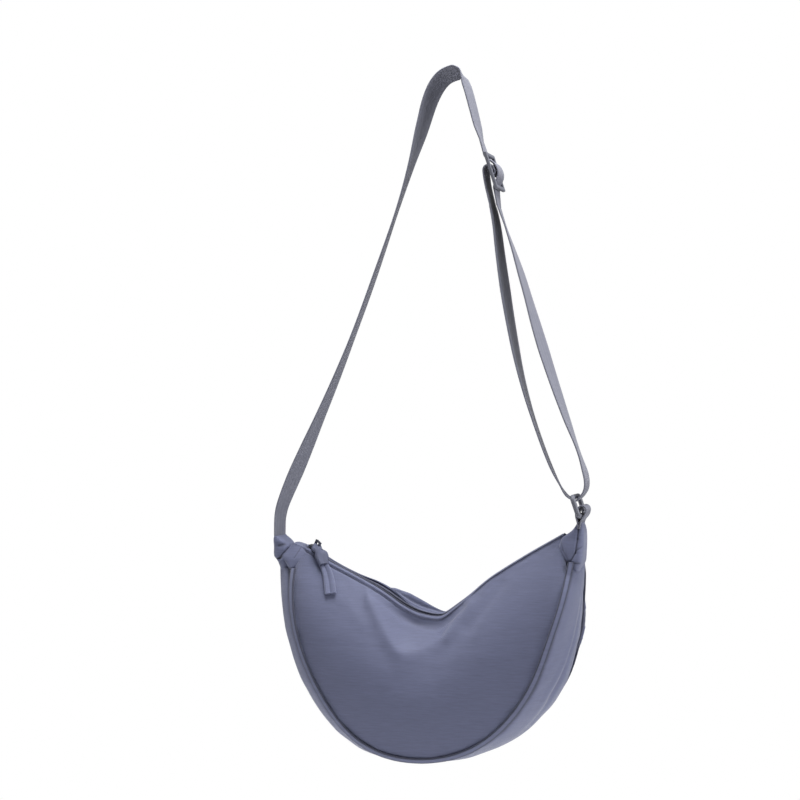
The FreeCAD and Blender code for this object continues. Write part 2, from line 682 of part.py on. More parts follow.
def build_strap():
    gap = size("cloth_gap")
    thick = size("strap_thick")
    half = thick / 2
    bar = size("adjuster_bar") / 2
    slot = size("adjuster_slot")
    plate = size("adjuster_thick") / 2
    lead = size("adjuster_lead")
    tail = 2 * (bar + slot) + size("adjuster_bar")

    # Weave: behind the outer bars, over the middle bar and the sewn end
    behind = -(plate + gap + half)
    over = plate + gap + thick + gap + half
    dive = bar + slot * WEAVE_DIVE_SHARE
    crest = bar + slot * WEAVE_CREST_SHARE
    fall = size("front_droop") * (tail - dive) / (tail + lead - dive)
    weave = [beside_adjuster(-tail, behind), beside_adjuster(-dive, behind), beside_adjuster(-crest, over),
             beside_adjuster(crest, over), beside_adjuster(dive, behind), beside_adjuster(tail, behind - fall)]
    keep_shape("strap_weave", strap_band(weave, WEAVE_BEND_RATIO * thick))

    # Carry run: seat in the sleeve, left run, crown on the peg
    root_x = value_of(ROOT_X)
    root_top = SEAM_Z + size("anchor_rise")
    seat = Vector(root_x, 0, root_top - size("anchor_slot") + gap)
    root = Vector(root_x, 0, root_top + size("anchor_lead"))
    peg_left = Vector(-size("peg_left"), 0, half)
    peg_right = Vector(size("peg_right"), 0, half)
    upper_end = beside_adjuster(-tail - lead, behind)
    falling = hanging(peg_right, upper_end, UPPER_HANG_SHARES)
    crown_end = middle_of(peg_right, falling[0])
    left_run = hanging(root, peg_left, LEFT_HANG_SHARES)
    keep_shape("strap_carry_run", strap_band([seat, root, *left_run, peg_left, peg_right, crown_end]))

    # Upper run: crown to the adjuster
    keep_shape("strap_upper_run", strap_band([crown_end, *falling, upper_end, weave[0]]))

    # Front run and the turn round the ring's upper bar
    wrap = size("ring_wire") / 2 + gap + half
    under = RING_TOP - Vector(0, 0, wrap)
    turn_left = under - Vector(wrap, 0, 0)
    turn_right = under + Vector(wrap, 0, 0)
    right_leg = under + Vector(size("front_leg_spread"), 0, size("front_leg_rise"))
    left_leg = under + Vector(-size("return_leg_spread"), 0, size("return_leg_rise"))
    right_joint = middle_of(turn_right, right_leg)
    left_joint = middle_of(turn_left, left_leg)
    front_top = beside_adjuster(tail + lead, behind - size("front_droop"))
    front_run = hanging(front_top, right_leg, FRONT_HANG_SHARES)
    keep_shape("strap_front_run", strap_band([weave[-1], front_top, *front_run, right_leg, right_joint]))
    keep_shape("strap_bight", strap_band([right_joint, turn_right, turn_left, left_joint]))

    # Sewn end: up behind the lower bar and once round the middle bar
    round_bar = bar + gap + half
    round_plate = plate + gap + half
    back = behind - thick - 2 * gap
    sewn_down = tail - size("sewn_setback")
    droop = size("sewn_droop")
    sewn = [beside_adjuster(sewn_down, back - thick - droop),
            beside_adjuster(bar + slot, back - half - droop * SEWN_DROOP_SHARE),
            beside_adjuster(round_bar, -round_plate), beside_adjuster(-round_bar, -round_plate),
            beside_adjuster(-round_bar, round_plate), beside_adjuster(round_bar, round_plate),
            beside_adjuster(round_bar, -round_plate + thick + gap)]
    keep_shape("strap_end_loop", strap_band(sewn, SEWN_BEND_RATIO * thick))

    # Return run: sewn end back down to the ring
    back_leg = sewn[0] + unit(sewn[0] - sewn[1]) * lead
    back_run = hanging(back_leg, left_leg, RETURN_HANG_SHARES)
    keep_shape("strap_return_run", strap_band([sewn[0], back_leg, *back_run, left_leg, left_joint]))


# Zip slider and pull
ZIP_ALONG = unit(ZIP_CORNER - ZIP_LEFT)
ZIP_UP = Vector(-ZIP_ALONG.z, 0, ZIP_ALONG.x)
SLIDER = ZIP_LEFT + ZIP_ALONG * size("slider_rest")
ON_ZIP = Rotation(ZIP_ALONG, ACROSS, ZIP_UP, "XYZ")


def centred_box(name, length, width, low, high):
    """A box centred on X and Y, from low to high on Z, each an expression over the sheet."""
    box = doc.addObject("Part::Box", name)
    box.setExpression("Length", length)
    box.setExpression("Width", width)
    box.setExpression("Height", f"({high}) - ({low})")
    box.setExpression("Placement.Base.x", f"-({length}) / 2")
    box.setExpression("Placement.Base.y", f"-({width}) / 2")
    box.setExpression("Placement.Base.z", low)
    return box


def joined(kind, name, base, *tools):
    """Fold tools into a base with one boolean each; the last one takes the name."""
    for index, tool in enumerate(tools):
        last = index == len(tools) - 1
        feature = doc.addObject(kind, name if last else f"{name}_{index}")
        feature.Base = base
        feature.Tool = tool
        base = feature
    return base


GAP = "Sizes.cloth_gap"
CHANNEL_HALF = f"(Sizes.coil_height / 2 + {GAP})"
SLIDER_TOP = f"({CHANNEL_HALF} + Sizes.slider_wall)"
CHANNEL_WIDTH = f"(Sizes.coil_slot + 2 * Sizes.coil_width + 2 * {GAP})"
SLIDER_WIDTH = f"({CHANNEL_WIDTH} + 2 * Sizes.slider_flange)"


def build_slider():
    """Two plates joined by the wedge that runs in the slot between the coil halves."""
    block = centred_box("slider_block", "Sizes.slider_length", SLIDER_WIDTH, f"-{SLIDER_TOP}", SLIDER_TOP)
    longer = "Sizes.slider_length * 2"
    channel = centred_box("slider_channel", longer, CHANNEL_WIDTH, f"-{CHANNEL_HALF}", CHANNEL_HALF)
    tape_half = f"(Sizes.tape_thick / 2 + {GAP})"
    tape_way = centred_box("slider_tape_way", longer, f"{SLIDER_WIDTH} * 2", f"-{tape_half}", tape_half)
    plates = joined("Part::Cut", "slider_plates", block, channel, tape_way)
    wedge = centred_box("slider_wedge_post", "Sizes.slider_wedge_length", "Sizes.slider_wedge",
                        f"-{SLIDER_TOP}", SLIDER_TOP)
    slider = joined("Part::Fuse", "zip_slider", plates, wedge)
    slider.Placement = Placement(SLIDER, ON_ZIP)
    keep(slider, "zip_slider")


# The bail and pull tab are turned from the zip's line towards the front
PULL_TURN = math.radians(size("pull_turn"))
PULL_FORWARD = ZIP_ALONG * math.cos(PULL_TURN) - ACROSS * math.sin(PULL_TURN)
HINGE = ZIP_ALONG * math.sin(PULL_TURN) + ACROSS * math.cos(PULL_TURN)
CROWN_TOP = f"({SLIDER_TOP} + Sizes.crown_height)"
CROWN_UNDER = f"({CROWN_TOP} - Sizes.crown_strip)"
BAR_HEIGHT = value_of(CROWN_UNDER) - size("cloth_gap") - size("pull_bar") / 2
TAB_AXIS = SLIDER + ZIP_UP * BAR_HEIGHT
SLOPE = math.radians(size("pull_drop"))
TAB_DOWN = PULL_FORWARD * math.cos(SLOPE) - ZIP_UP * math.sin(SLOPE)
TAB_FACE = PULL_FORWARD * math.sin(SLOPE) + ZIP_UP * math.cos(SLOPE)


def build_crown():
    arch = centred_box("crown_arch", "Sizes.crown_length", "Sizes.crown_width", SLIDER_TOP, CROWN_TOP)
    inside = "Sizes.crown_length - 2 * Sizes.crown_strip"
    opening = centred_box("crown_opening", inside, "Sizes.crown_width * 2", SLIDER_TOP, CROWN_UNDER)
    crown = joined("Part::Cut", "zip_crown", arch, opening)
    crown.Placement = Placement(SLIDER, Rotation(PULL_FORWARD, HINGE, ZIP_UP, "XYZ"))
    keep(crown, "zip_crown")


def build_pull():
    """Pull tab with a round bar at each end, and the folded cloth puller on the lower one."""
    half = "Sizes.pull_thick / 2"
    plate = doc.addObject("Part::Box", "pull_plate")
    plate.setExpression("Length", "Sizes.pull_reach")
    plate.setExpression("Width", "Sizes.pull_width")
    plate.setExpression("Height", "Sizes.pull_thick")
    plate.setExpression("Placement.Base.y", "-Sizes.pull_width / 2")
    plate.setExpression("Placement.Base.z", f"-{half}")
    bars = []
    for name, along in (("pull_upper_bar", "0 mm"), ("pull_lower_bar", "Sizes.pull_reach")):
        rod = doc.addObject("Part::Cylinder", name)
        rod.setExpression("Radius", "Sizes.pull_bar / 2")
        rod.setExpression("Height", "Sizes.pull_width")
        rod.Placement = Placement(Vector(0, 0, 0), Rotation(Vector(1, 0, 0), -90))
        rod.setExpression("Placement.Base.x", along)
        rod.setExpression("Placement.Base.y", "-Sizes.pull_width / 2")
        bars.append(rod)
    into_bar = "Sizes.pull_bar / 4"
    eye = centred_box("pull_eye", f"Sizes.pull_eye_length - {into_bar}", "Sizes.pull_eye_width",
                      "-Sizes.pull_thick", "Sizes.pull_thick")
    eye.setExpression("Placement.Base.x", into_bar)
    loop_room = f"(Sizes.pull_bar / 2 + Sizes.puller_thick + 2 * {GAP})"
    slot = centred_box("pull_slot", f"{loop_room} - {into_bar}", f"Sizes.puller_width + 2 * {GAP}",
                       "-Sizes.pull_thick", "Sizes.pull_thick")
    slot.setExpression("Placement.Base.x", f"Sizes.pull_reach - {loop_room}")
    pierced = joined("Part::Cut", "pull_pierced", plate, eye, slot)
    tab = joined("Part::Fuse", "pull_tab", pierced, *bars)
    tab.Placement = Placement(TAB_AXIS, Rotation(TAB_DOWN, HINGE, TAB_FACE, "XYZ"))
    keep(tab, "pull_tab")
    puller = folded_loop("zip_puller", "Sizes.pull_bar", "Sizes.puller_thick", "Sizes.puller_width",
                         "Sizes.puller_length")
    drop = math.radians(size("puller_drop"))
    hang = PULL_FORWARD * math.cos(drop) - ZIP_UP * math.sin(drop)
    puller.Placement = Placement(TAB_AXIS + TAB_DOWN * size("pull_reach"),
                                 Rotation(HINGE.cross(hang * -1), HINGE, hang * -1, "XYZ"))


build_cloth()
build_piping()
build_zip()
build_tips()
build_ring()
build_adjuster()
build_strap()
build_slider()
build_crown()
build_pull()
doc.recompute()

for obj in doc.Objects:
    if "Invalid" in obj.State or "Error" in obj.State:
        raise RuntimeError(f"{obj.Label} did not build: {obj.State}")
os.makedirs("parts", exist_ok=True)
for obj in nodes:
    shape = obj.Shape
    if shape.isNull() or not shape.isValid() or not shape.Solids:
        raise RuntimeError(f"{obj.Label} has no valid solid")
for obj in nodes:
    obj.Shape.exportStep(f"parts/{obj.Label}.step")
    print(f"{obj.Label}: {len(obj.Shape.Solids)} solid, {obj.Shape.Volume:.1f} mm3")

# Places that the joints and mounts refer to
for name, place in (("ring hinge", LOOP_AXIS), ("ring top", RING_TOP), ("adjuster", ADJUSTER),
                    ("adjuster slide", ADJUSTER_DOWN), ("slider", SLIDER), ("slider run", ZIP_ALONG),
                    ("pull hinge", TAB_AXIS), ("hinge line", HINGE),
                    ("puller hinge", TAB_AXIS + TAB_DOWN * size("pull_reach"))):
    print(f"{name}: {place.x:.3f} {place.y:.3f} {place.z:.3f}")
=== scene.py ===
"""Half moon shoulder bag in slate nylon, hung by its strap and dressed over its CAD frame."""
import math

import bpy
import numpy as np
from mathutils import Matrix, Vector, noise
from mathutils.bvhtree import BVHTree


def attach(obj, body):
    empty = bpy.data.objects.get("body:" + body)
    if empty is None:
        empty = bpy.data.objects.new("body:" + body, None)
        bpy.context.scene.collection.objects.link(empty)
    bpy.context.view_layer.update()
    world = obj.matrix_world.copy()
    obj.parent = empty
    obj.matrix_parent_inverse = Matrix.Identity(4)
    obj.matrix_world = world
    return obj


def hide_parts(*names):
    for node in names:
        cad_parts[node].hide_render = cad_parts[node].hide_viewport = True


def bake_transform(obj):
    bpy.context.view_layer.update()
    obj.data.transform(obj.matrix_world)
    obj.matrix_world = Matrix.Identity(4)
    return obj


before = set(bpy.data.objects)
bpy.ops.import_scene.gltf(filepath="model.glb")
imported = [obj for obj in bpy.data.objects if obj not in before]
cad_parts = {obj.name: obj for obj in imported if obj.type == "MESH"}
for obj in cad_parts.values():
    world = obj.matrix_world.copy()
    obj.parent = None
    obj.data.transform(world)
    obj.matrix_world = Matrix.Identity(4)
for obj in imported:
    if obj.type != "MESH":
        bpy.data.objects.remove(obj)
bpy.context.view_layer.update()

bl_info = {
    "name": "Half moon bag",
    "version": (1, 0, 0),
    "blender": (4, 5, 0),
    "location": "View3D > Sidebar > Bag",
    "description": "Builds the cloth, webbing, zip and fittings of a half moon shoulder bag",
    "category": "Object",
}

# Lengths are in millimetres where no comment says metres, and meshes are in metres
MM = 0.001
FRONT = -1
REAR = 1
FAR_OUT = 300.0

# Zip line, seen from the front: two straight runs, and how far the hung cloth lies off them
ZIP_LEFT = (-137.0, -432.0)
ZIP_CORNER = (-6.5, -492.0)
ZIP_RIGHT = (104.0, -422.0)
ZIP_BEND = 5.0
ZIP_SAG = [
    (-137, 0), (-126, -0.5), (-112, -3), (-62, -3.6), (-50, -6.5), (-36, -8.8), (-22, -7), (-10, -3), (2, 0),
    (14, 0.8), (24, 3.6), (34, 7), (62, 7.2), (80, 6.6), (104, 5)]
ZIP_SAG_EASE = 9
MOUTH_HALF = [(-137, 7), (-118, 6.4), (-100, 5), (-60, 4.4), (-30, 3), (5, 3), (104, 3.6)]
MOUTH_EASE = 6

# Roll of the sagging zip towards the front: how far, and where along the zip
ZIP_ROLL = math.radians(28)
ZIP_ROLL_MIDDLE = -28
ZIP_ROLL_SPREAD = 42

# Half moon seam: its middle, its reach to the side and down, and half the depth of the bag along it
SEAM_MIDDLE = (-12.0, -452.0)
SEAM_REACH = (131.0, 165.0)
TIP_HALF_DEPTH = 18
BELLY_HALF_DEPTH = 37
BELLY_FULLNESS = 5

# Where the seam leaves its half ellipse: how far out, at how many degrees round it, and over what spread
SEAM_BULGES = [(6.5, 65, 22)]
SEAM_BULGES_FRONT = [(-8.4, 150, 24), (-3, 125, 20), (-5, 180, 18), (-3.5, 160, 14)]
SEAM_BULGES_REAR = [(5, 142, 14), (-2, 172, 8)]

# Panels: rows round and down, how the rows bunch up at the edges, and the swell of the belly
PANEL_ROWS = (250, 170)
PANEL_BUNCHING = (0.35, 0.55)
PANEL_ROOM = 1.0
PANEL_SWELL = 24.0
PANEL_SWELL_LOW = 0.85

# Slanting shelf under the valley of the zip: its foot, the ridge at the foot and the hollow above it
RIDGE = [
    (-137, -400), (-94, -452), (-77, -467), (-54, -503), (-37, -525), (-20, -520), (-1, -510), (10, -489),
    (18, -478), (30, -466), (45, -445), (104, -390)]
RIDGE_EASE = 6
RIDGE_PROUD = 3
RIDGE_FADE = 13
SHELF_SPAN = (-90.0, 44.0)
SHELF_STEP = 3.0
SHELF_LEAST = 0.01
SHELF_START = 1
SHELF_GROWTH = 8
SHELF_HOLLOW = 1.35
SHELF_ROUNDS = 6

# Crest of the rear panel behind the valley, and its round right flank beside the seam
REAR_CREST = [(-76, 0), (-62, 3), (-48, 11.5), (-34, 14.5), (-18, 10.5), (-10, 7), (-3, 4.5), (8, 1), (16, 0)]
CREST_EASE = 8
CREST_RISE = 8
CREST_FADE = 20
FLANK_BULGES = [(7, 159, 14)]
FLANK_RISE = 9
FLANK_FADE = 26

# Rolls and grooves beside the edges of a panel: height, distance from the edge, and width
LIP_GROOVE = 4.6
LIP_ROLL = (0.9, 2.2, 1.7)
LIP_STITCH = (-0.9, LIP_GROOVE, 1.1)
# Painted shade in the stitched groove: darkness, distance from the edge, and width
LIP_SHADE = (0.5, LIP_GROOVE, 0.7)
LIP_PUCKER = (0.5, 9, 6)
SEAM_PULL = (-0.8, 0, 2.6)
# Painted shade beside the seam: darkness, distance from the edge, and width
SEAM_SHADE = (0.6, 2.6, 0.8)
SEAM_PUCKER = {FRONT: (0.7, 5, 7), REAR: (0.2, 5, 7)}

# End of the stitched groove on the front lip, which fades out towards the valley
STITCH_END = -42
STITCH_FADE = 22

# Hollow under the lip at the valley: depth, darkness of its painted shade, then middle and spread off the zip
# and along it
HOLLOW_DEPTH = 2.6
HOLLOW_SHADE = 0.3
HOLLOW_DOWN = (10, 5)
HOLLOW_ALONG = (-24, 34)

# Folds of the panels, seen from the front: start, end, height and width
FRONT_FOLDS = [
    ((5, -509), (22, -481), 1.5, 5.5), ((-2, -508), (14, -485), -1.0, 3.6),
    ((-66, -480), (-36, -520), 1.3, 6.5), ((24, -500), (50, -462), -1.2, 6),
    ((-100, -472), (-72, -500), 0.9, 7)]
REAR_FOLDS = [
    ((-70, -470), (-20, -520), 2.0, 14), ((-20, -520), (40, -480), 2.0, 14),
    ((-40, -490), (10, -505), -1.6, 12)]

# Waves and crinkles of the cloth: waves a millimetre on each axis
PUCKER_SCALE = (0.11, 0.11, 0.11)
PANEL_WAVE_SCALE = (0.018, 0.03, 0.045)
PANEL_WAVE_HEIGHT = 0.5
PANEL_CRINKLE_SCALE = (0.035, 0.05, 0.12)
PANEL_CRINKLE_HEIGHT = 0.15
GUSSET_WAVE_SCALE = (0.05, 0.03, 0.05)
GUSSET_WAVE_HEIGHT = 0.8
GUSSET_PUCKER_SCALE = (0.1, 0.05, 0.1)
TIP_CRINKLE_SCALE = (0.12, 0.12, 0.12)
TIP_CRINKLE_HEIGHT = 0.5
BINDING_WAVE_SCALE = (0.2, 0.2, 0.2)
BINDING_WAVE = 0.05

# Gusset: rows, and its swell at the bottom, towards the left tip, at both tips and at the shoulders
GUSSET_ROWS = (280, 64)
GUSSET_SWELL = 7
GUSSET_SWELL_LEFT = 6.25
GUSSET_SWELL_TIPS = 4.75
GUSSET_SHOULDERS = 3.2
GUSSET_SHOULDERS_LEAN = 0.56
GUSSET_BULGES = [(-3, 92, 24), (3.2, 40, 18), (3, 121, 17), (1.4, 100, 9), (-1, 80, 10)]
GUSSET_PULL = (-1.3, 2.2, 2.2)
# Painted shade beside the binding: darkness, distance from the edge, and width
GUSSET_SHADE = (1.0, 2.8, 1.3)
GUSSET_PUCKER = (0.5, 7, 6)

# Fold on the right side of the gusset: share of the depth by degrees round, where it shows, its rolls, and
# the painted shade in its groove
SIDE_FOLD = [(132, -0.25), (141, -0.3), (154, -0.08), (168, 0.12)]
SIDE_FOLD_SEEN = (149, 18)
SIDE_FOLD_RIDGE = (1.1, -0.12, 0.11)
SIDE_FOLD_GROOVE = (-1.9, 0.1, 0.1)
SIDE_FOLD_SHADE = (0.45, 0.05, 0.05)

# Above the right end of the seam, the gusset and its bindings run on up into the tip
TAIL_STEPS = np.linspace(0, 1, 10)[1:, None]
TAIL_RISE = 11.0
TAIL_DRAW = 1.4
GUSSET_TAIL_OUT = 0.4
BINDING_TAIL_OUT = 0.5
BINDING_TAIL_SPLAY = 1.5

# Folded binding: rows, sides, half sizes, lean in degrees, and the inset and lean that grow at the bottom
BINDING_ROWS = 320
BINDING_SIDES = 32
BINDING_HALF_WIDTH = 2.8
BINDING_HALF_THICK = 1.0
BINDING_PROUD = 0.3
BINDING_SQUARENESS = 0.6
BINDING_ROOM = 0.4
BINDING_INSET_LOW = 0.9
BINDING_LEAN = 28
BINDING_LEAN_LOW = 8
BINDING_LOW_REACH = 6
BINDING_GIRTH = 12.0
# Painted shade lines along the binding's outer and inner stitched edges: middle and spread across its width
BINDING_OUTER_SHADE = (0.86, 0.34)
BINDING_INNER_SHADE = (0.9, 0.21)

# Lining: rows of the panels and of the gusset, rows trimmed off, and how far they lie inside the shell
LINING_ROWS = (120, 60)
LINING_TRIM = (5, 3)
GUSSET_LINING_ROWS = (140, 24)
GUSSET_LINING_TRIM = (4, 2)
LINING_INSIDE = 2.0

# Zip: places beside the middle of the mouth, heights off the tape, and one turn of the coil
ZIP_POINTS = 260
TAPE_REACH = 4.6
TAPE_HEIGHT = -1.3
TAPE_WIDTH = 4.2
TAPE_THICK = 0.6
TAPE_INSET = 0.3
COIL_REACH = 1.75
COIL_HEIGHTS = (-0.5, -1.4)
COIL_TURN = (1.15, 3.3, 1.3)
COIL_INSET = 1

# Stitches on the lip: length, how far they stand off, and rows left out at each tip
STITCH_LENGTH = 2.0
STITCH_PROUD = 0.1
STITCH_TRIM = 6
STITCH_ROUNDS = 4

# Stuffed tips: rows, sides, how far the levels ease into each other, and how boxy a boxy level is
TIP_ROWS = 90
TIP_SIDES = 180
TIP_EASE = 1.6
TIP_BOXINESS = 5

# Levels of a tip have height, left and right edge, half depth, and 1 for boxy or 0 for round
# Folds of a tip have start, end, height and width, and the grooves among them get painted shade
SLEEVE_LEVELS = [
    (-423.5, -163.6, -161, 13.2, 1), (-425.5, -164.6, -157.5, 14, 0.9), (-429, -165.2, -152.5, 14.5, 0.7),
    (-433, -165.2, -149.5, 14.6, 0.6), (-439, -165.4, -147, 15.2, 0.6), (-443, -165, -146, 15.6, 0.5),
    (-446, -162.5, -145, 15, 0.3), (-450, -161.2, -144.5, 13.5, 0.1), (-454, -160.3, -144, 11.5, 0),
    (-460, -159, -143.5, 11, 0)]
SLEEVE_FOLDS = [
    ((-147, -430), (-150, -435), -2.0, 1.8), ((-150, -435), (-157.5, -443.5), -2.0, 1.8),
    ((-157.5, -443.5), (-164, -445), -1.2, 1.2), ((-158, -432), (-150, -430), -0.8, 2.0)]
LEFT_PATCH_LEVELS = [
    (-429.5, -146, -136, 9, 0.4), (-433, -149, -132, 11.5, 0.5), (-438, -153.5, -130, 14, 0.7),
    (-442, -157.5, -130, 16, 0.8), (-444.5, -157.5, -131, 16.8, 0.8), (-448, -153.5, -133, 17.6, 0.7),
    (-451, -151, -136.5, 18.4, 0.7), (-454, -149, -139, 18.8, 0.5), (-456.5, -146, -141, 18, 0.3)]
LEFT_PATCH_FOLDS = [
    ((-138.5, -434), (-142.5, -443), -0.5, 0.8), ((-157, -443), (-151.2, -449), -1.0, 1.2),
    ((-151.2, -449), (-149, -452.8), -1.0, 1.2), ((-149, -452.8), (-143.6, -453.5), -1.0, 1.2),
    ((-143.6, -453.5), (-140.4, -451.7), -0.9, 1.2), ((-140.4, -451.7), (-136, -446.9), -0.7, 1.2)]
LEFT_PATCH_FALL = 0.34
RIGHT_PATCH_LEVELS = [
    (-406.5, 117, 121.5, 6, 1), (-409, 116, 122.5, 8.5, 1), (-414, 112.5, 123.5, 11, 1),
    (-420, 103.5, 123.8, 12.5, 1), (-428, 101, 123.5, 14, 1), (-436, 104.5, 123, 15.5, 0.9),
    (-441, 108, 122.6, 16.2, 0.8), (-444, 111, 121.4, 15.2, 0.5), (-449, 113.5, 119.5, 12, 0.2)]
RIGHT_PATCH_FOLDS = [
    ((119, -409), (118.6, -421), -0.9, 1.0), ((118.6, -421), (117, -433), -0.9, 1.0),
    ((117, -433), (112.5, -441), -0.9, 1.0), ((117.4, -431), (123, -427), -0.5, 1.0),
    ((108, -441), (122, -442), -0.8, 1.1), ((103.5, -423), (106, -431), -0.4, 1.0),
    ((106, -431), (111.5, -440), -0.4, 1.0)]

# Loop that holds the ring: its route beside the ring's hinge, its thickness and its width
RING_HINGE = (120.0, -400.5)
RING_LOOP_ROUTE = [
    (-1.4, -11.5), (-1.7, -5.5), (-3.6, -1), (-3.2, 5.2), (1.6, 9.6), (6.2, 7.0), (5.0, 0.4), (0.2, -4.2),
    (-0.2, -11.5)]
RING_LOOP_THICK = 1.4
RING_LOOP_WIDTH = 21.0

# Puller and pull tab: places on the front panel with their lift, direction across, and width by share down
PULLER_ROUTE = [
    (-118.6, -443.5, 1.6), (-116, -449.5, 1.8), (-111.2, -457.5, 2.4), (-107.6, -466, 2.4),
    (-104.8, -474.5, 2.4)]
PULLER_ACROSS = (0.80, 0.42, 0.43)
PULLER_TAPER = [(0, 0.72), (0.25, 0.8), (0.8, 1), (1, 1)]
PULLER_THICK = 3.0
PULLER_GROOVE = 0.4
PULL_TAB_ROOT = [(-125.4, -1.5, -432.6), (-124.4, -7, -436)]
PULL_TAB_ROUTE = [(-121.2, -441, 4.2), (-118, -446.6, 4.4), (-116, -450, 3.2)]
PULL_TAB_ACROSS = (0.86, 0.3, -0.41)
PULL_TAB_TAPER = [(0, 0.6), (0.2, 0.9), (0.7, 1), (1, 0.7)]
PULL_TAB_WIDTH = 13.2
PULL_TAB_THICK = 4.2
PULL_TAB_GROOVE = 0.1

# Ribbon: points on a face, crown, width of a groove, round of its edges, and how close its end rows are
RIBBON_POINTS = 15
RIBBON_CROWN = 0.12
RIBBON_GROOVE_WIDTH = 0.16
RIBBON_ROUND = 0.7
CLOSE_END = 0.02

# Adjuster on the strap
ADJUSTER_MIDDLE = (41.0, -95.0)
ADJUSTER_LEAN = math.radians(18)


def beside_adjuster(down, out):
    """A place beside the adjuster, by how far it is down the strap and out to the right."""
    x = ADJUSTER_MIDDLE[0] + down * math.sin(ADJUSTER_LEAN) + out * math.cos(ADJUSTER_LEAN)
    z = ADJUSTER_MIDDLE[1] - down * math.cos(ADJUSTER_LEAN) + out * math.sin(ADJUSTER_LEAN)
    return (x, 0.0, z)


def flat_route(points):
    """A route in the middle of the bag's depth."""
    return [(x, 0.0, z) for x, z in points]


# Strap routes, seen from the front
CROWN_END = (13.2, 0.0, -9.6)
CARRY_ROUTE = flat_route([
    (-162.3, -438.7), (-162.3, -420), (-162.0, -405), (-158, -391), (-139, -349), (-95, -252), (-51, -133),
    (-26.6, -56), (-18, -25), (-7.5, -8.6), (4, -4.0), (10.4, -4.2)]) + [CROWN_END]
UPPER_ROUTE = [CROWN_END, (16.6, 0, -19), (21.2, 0, -36), (26.2, 0, -56), beside_adjuster(-30.8, -2.5)]
WEAVE_ROUTE = [
    beside_adjuster(*place) for place in (
        (-30.8, -2.5), (-20, -2.5), (-12.6, -2.5), (-5.4, 5.2), (5.8, 5.2), (12.6, -2.5), (20, -3.8),
        (30.8, -5.7))]
FRONT_ROUTE = [beside_adjuster(30.8, -5.7), beside_adjuster(43.8, -5.6)] + flat_route([
    (64.4, -181.6), (83.4, -247.8), (103.8, -308.7), (119, -348.8), (126.6, -374.25)])
RING_TURN = flat_route([(118, -387.25), (111.5, -387.25)])
END_LOOP_ROUTE = [
    beside_adjuster(*place) for place in (
        (28.8, -10.8), (14, -9.8), (3, -8.4), (-6.5, -6.2), (-6, 1.0), (-1, 3.0), (4.2, 2.6), (3.6, -1.2))]
RETURN_ROUTE = flat_route([
    (103.4, -380.25), (88.8, -351.2), (67.5, -289.1), (55, -227.3), (46.4, -169.7), (43, -139.2)]) + [
    beside_adjuster(28.8, -10.8)]

# Height below which the strap's two legs give way to the swinging ring
LEG_CUT = -334

# Turn of the webbing about its own line, in degrees, by height
CARRY_TWIST = [
    (-440, 3), (-410, 4), (-385, 11), (-365, 14.5), (-340, 10), (-317, 3), (-274, -4), (-240, -9), (-190, -9),
    (-130, -13.5), (-101, -9), (-79, -2), (-58, 10), (-36, 16), (-20, 20), (-8, 22), (-4, 23)]
CREST_TWIST = (-3, 23)
FALL_TWIST = [(-4, 16), (-9, 0), (-16, -4.6), (-36, -4), (-54, -2), (-66, 6)]
FRONT_TWIST = [
    (-122, 6), (-144, 10), (-166, 5), (-187, -1), (-209, -3), (-230, -7.6), (-252, -10), (-274, -7.6),
    (-295, -5), (-317, -1), (-338, 6), (-349, 6), (-362, 1), (-381, 2)]
RETURN_TWIST = [
    (-120, 1), (-133, -2), (-160, -5), (-200, -7.6), (-230, -5), (-252, -3), (-280, 1.5), (-317, 6),
    (-360, 7), (-375, 11), (-384, 6)]
CARRY_TWIST_ROUNDS = 6
LEG_TWIST_ROUNDS = 3

# Turn of the webbing at the adjuster, in degrees, by share along
WEAVE_TWIST = [(0, 6), (0.2, 2), (0.8, 1), (1, 6)]
END_LOOP_TWIST = [(0, -1), (0.3, 0), (1, 0)]

# Cloth finishes: threads a metre, creases a metre, depth of a crease in metres, sheen and roughness
CLOTHS = {
    "shell": (1900.0, 34.0, 0.0007, 0.25, 0.62),
    "lining": (2400.0, 40.0, 0.0008, 0.1, 0.7),
    "zip_tape": (1500.0, 50.0, 0.0003, 0.1, 0.7),
    "thread": (6000.0, 60.0, 0.0001, 0.2, 0.6),
}

# Hard finishes: metallic, roughness, coat and grains a metre
HARD_FINISHES = {
    "zip_coil": (0.0, 0.45, 0.0, 2500.0),
    "hardware": (0.0, 0.5, 0.05, 1800.0),
    "slider_metal": (0.85, 0.36, 0.0, 2200.0),
    "pull_paint": (0.0, 0.7, 0.0, 2000.0),
}

# Depths of the fine patterns in bump, in metres
WEAVE_DEPTH = 0.00012
RIB_DEPTH = 0.00018
WEBBING_CREASE_DEPTH = 0.0004
GRAIN_DEPTH = 0.00004

# Stage: floor in millimetres, strength of the surround, and lamps in metres and watts
FLOOR_RADIUS = 600
FLOOR_HEIGHT = -800
FLOOR_SIDES = 64
SURROUND_LIGHT = 0.28
LAMP_AIM = (0.0, 0.0, -0.45)
LAMPS = [
    ("overhead lamp", (0.1, -0.08, 1.1), 1.1, 39.0),
    ("right lamp", (1.5, 0.0, 0.1), 0.9, 15.0),
    ("left lamp", (-1.5, -0.1, 0.1), 0.9, 6.5),
]

# Camera, level, right of the front: distance, shift and height in metres, lens and sensor in millimetres
CAMERA_TURN = math.radians(16)
CAMERA_DISTANCE = 1.7
CAMERA_SHIFT = -0.045
CAMERA_HEIGHT = -0.2988
CAMERA_LENS = 85
CAMERA_SENSOR = 36


# Shapes

def soft_keys(x, keys, spread):
    """Values between keys, with the corners at the keys rounded over a spread."""
    places = [key[0] for key in keys]
    values = [key[1] for key in keys]
    shifts = np.linspace(-spread, spread, 9)
    return np.mean([np.interp(x + shift, places, values) for shift in shifts], axis=0)


def between_keys(x, keys):
    """Values on straight lines between keys."""
    return np.interp(x, [key[0] for key in keys], [key[1] for key in keys])


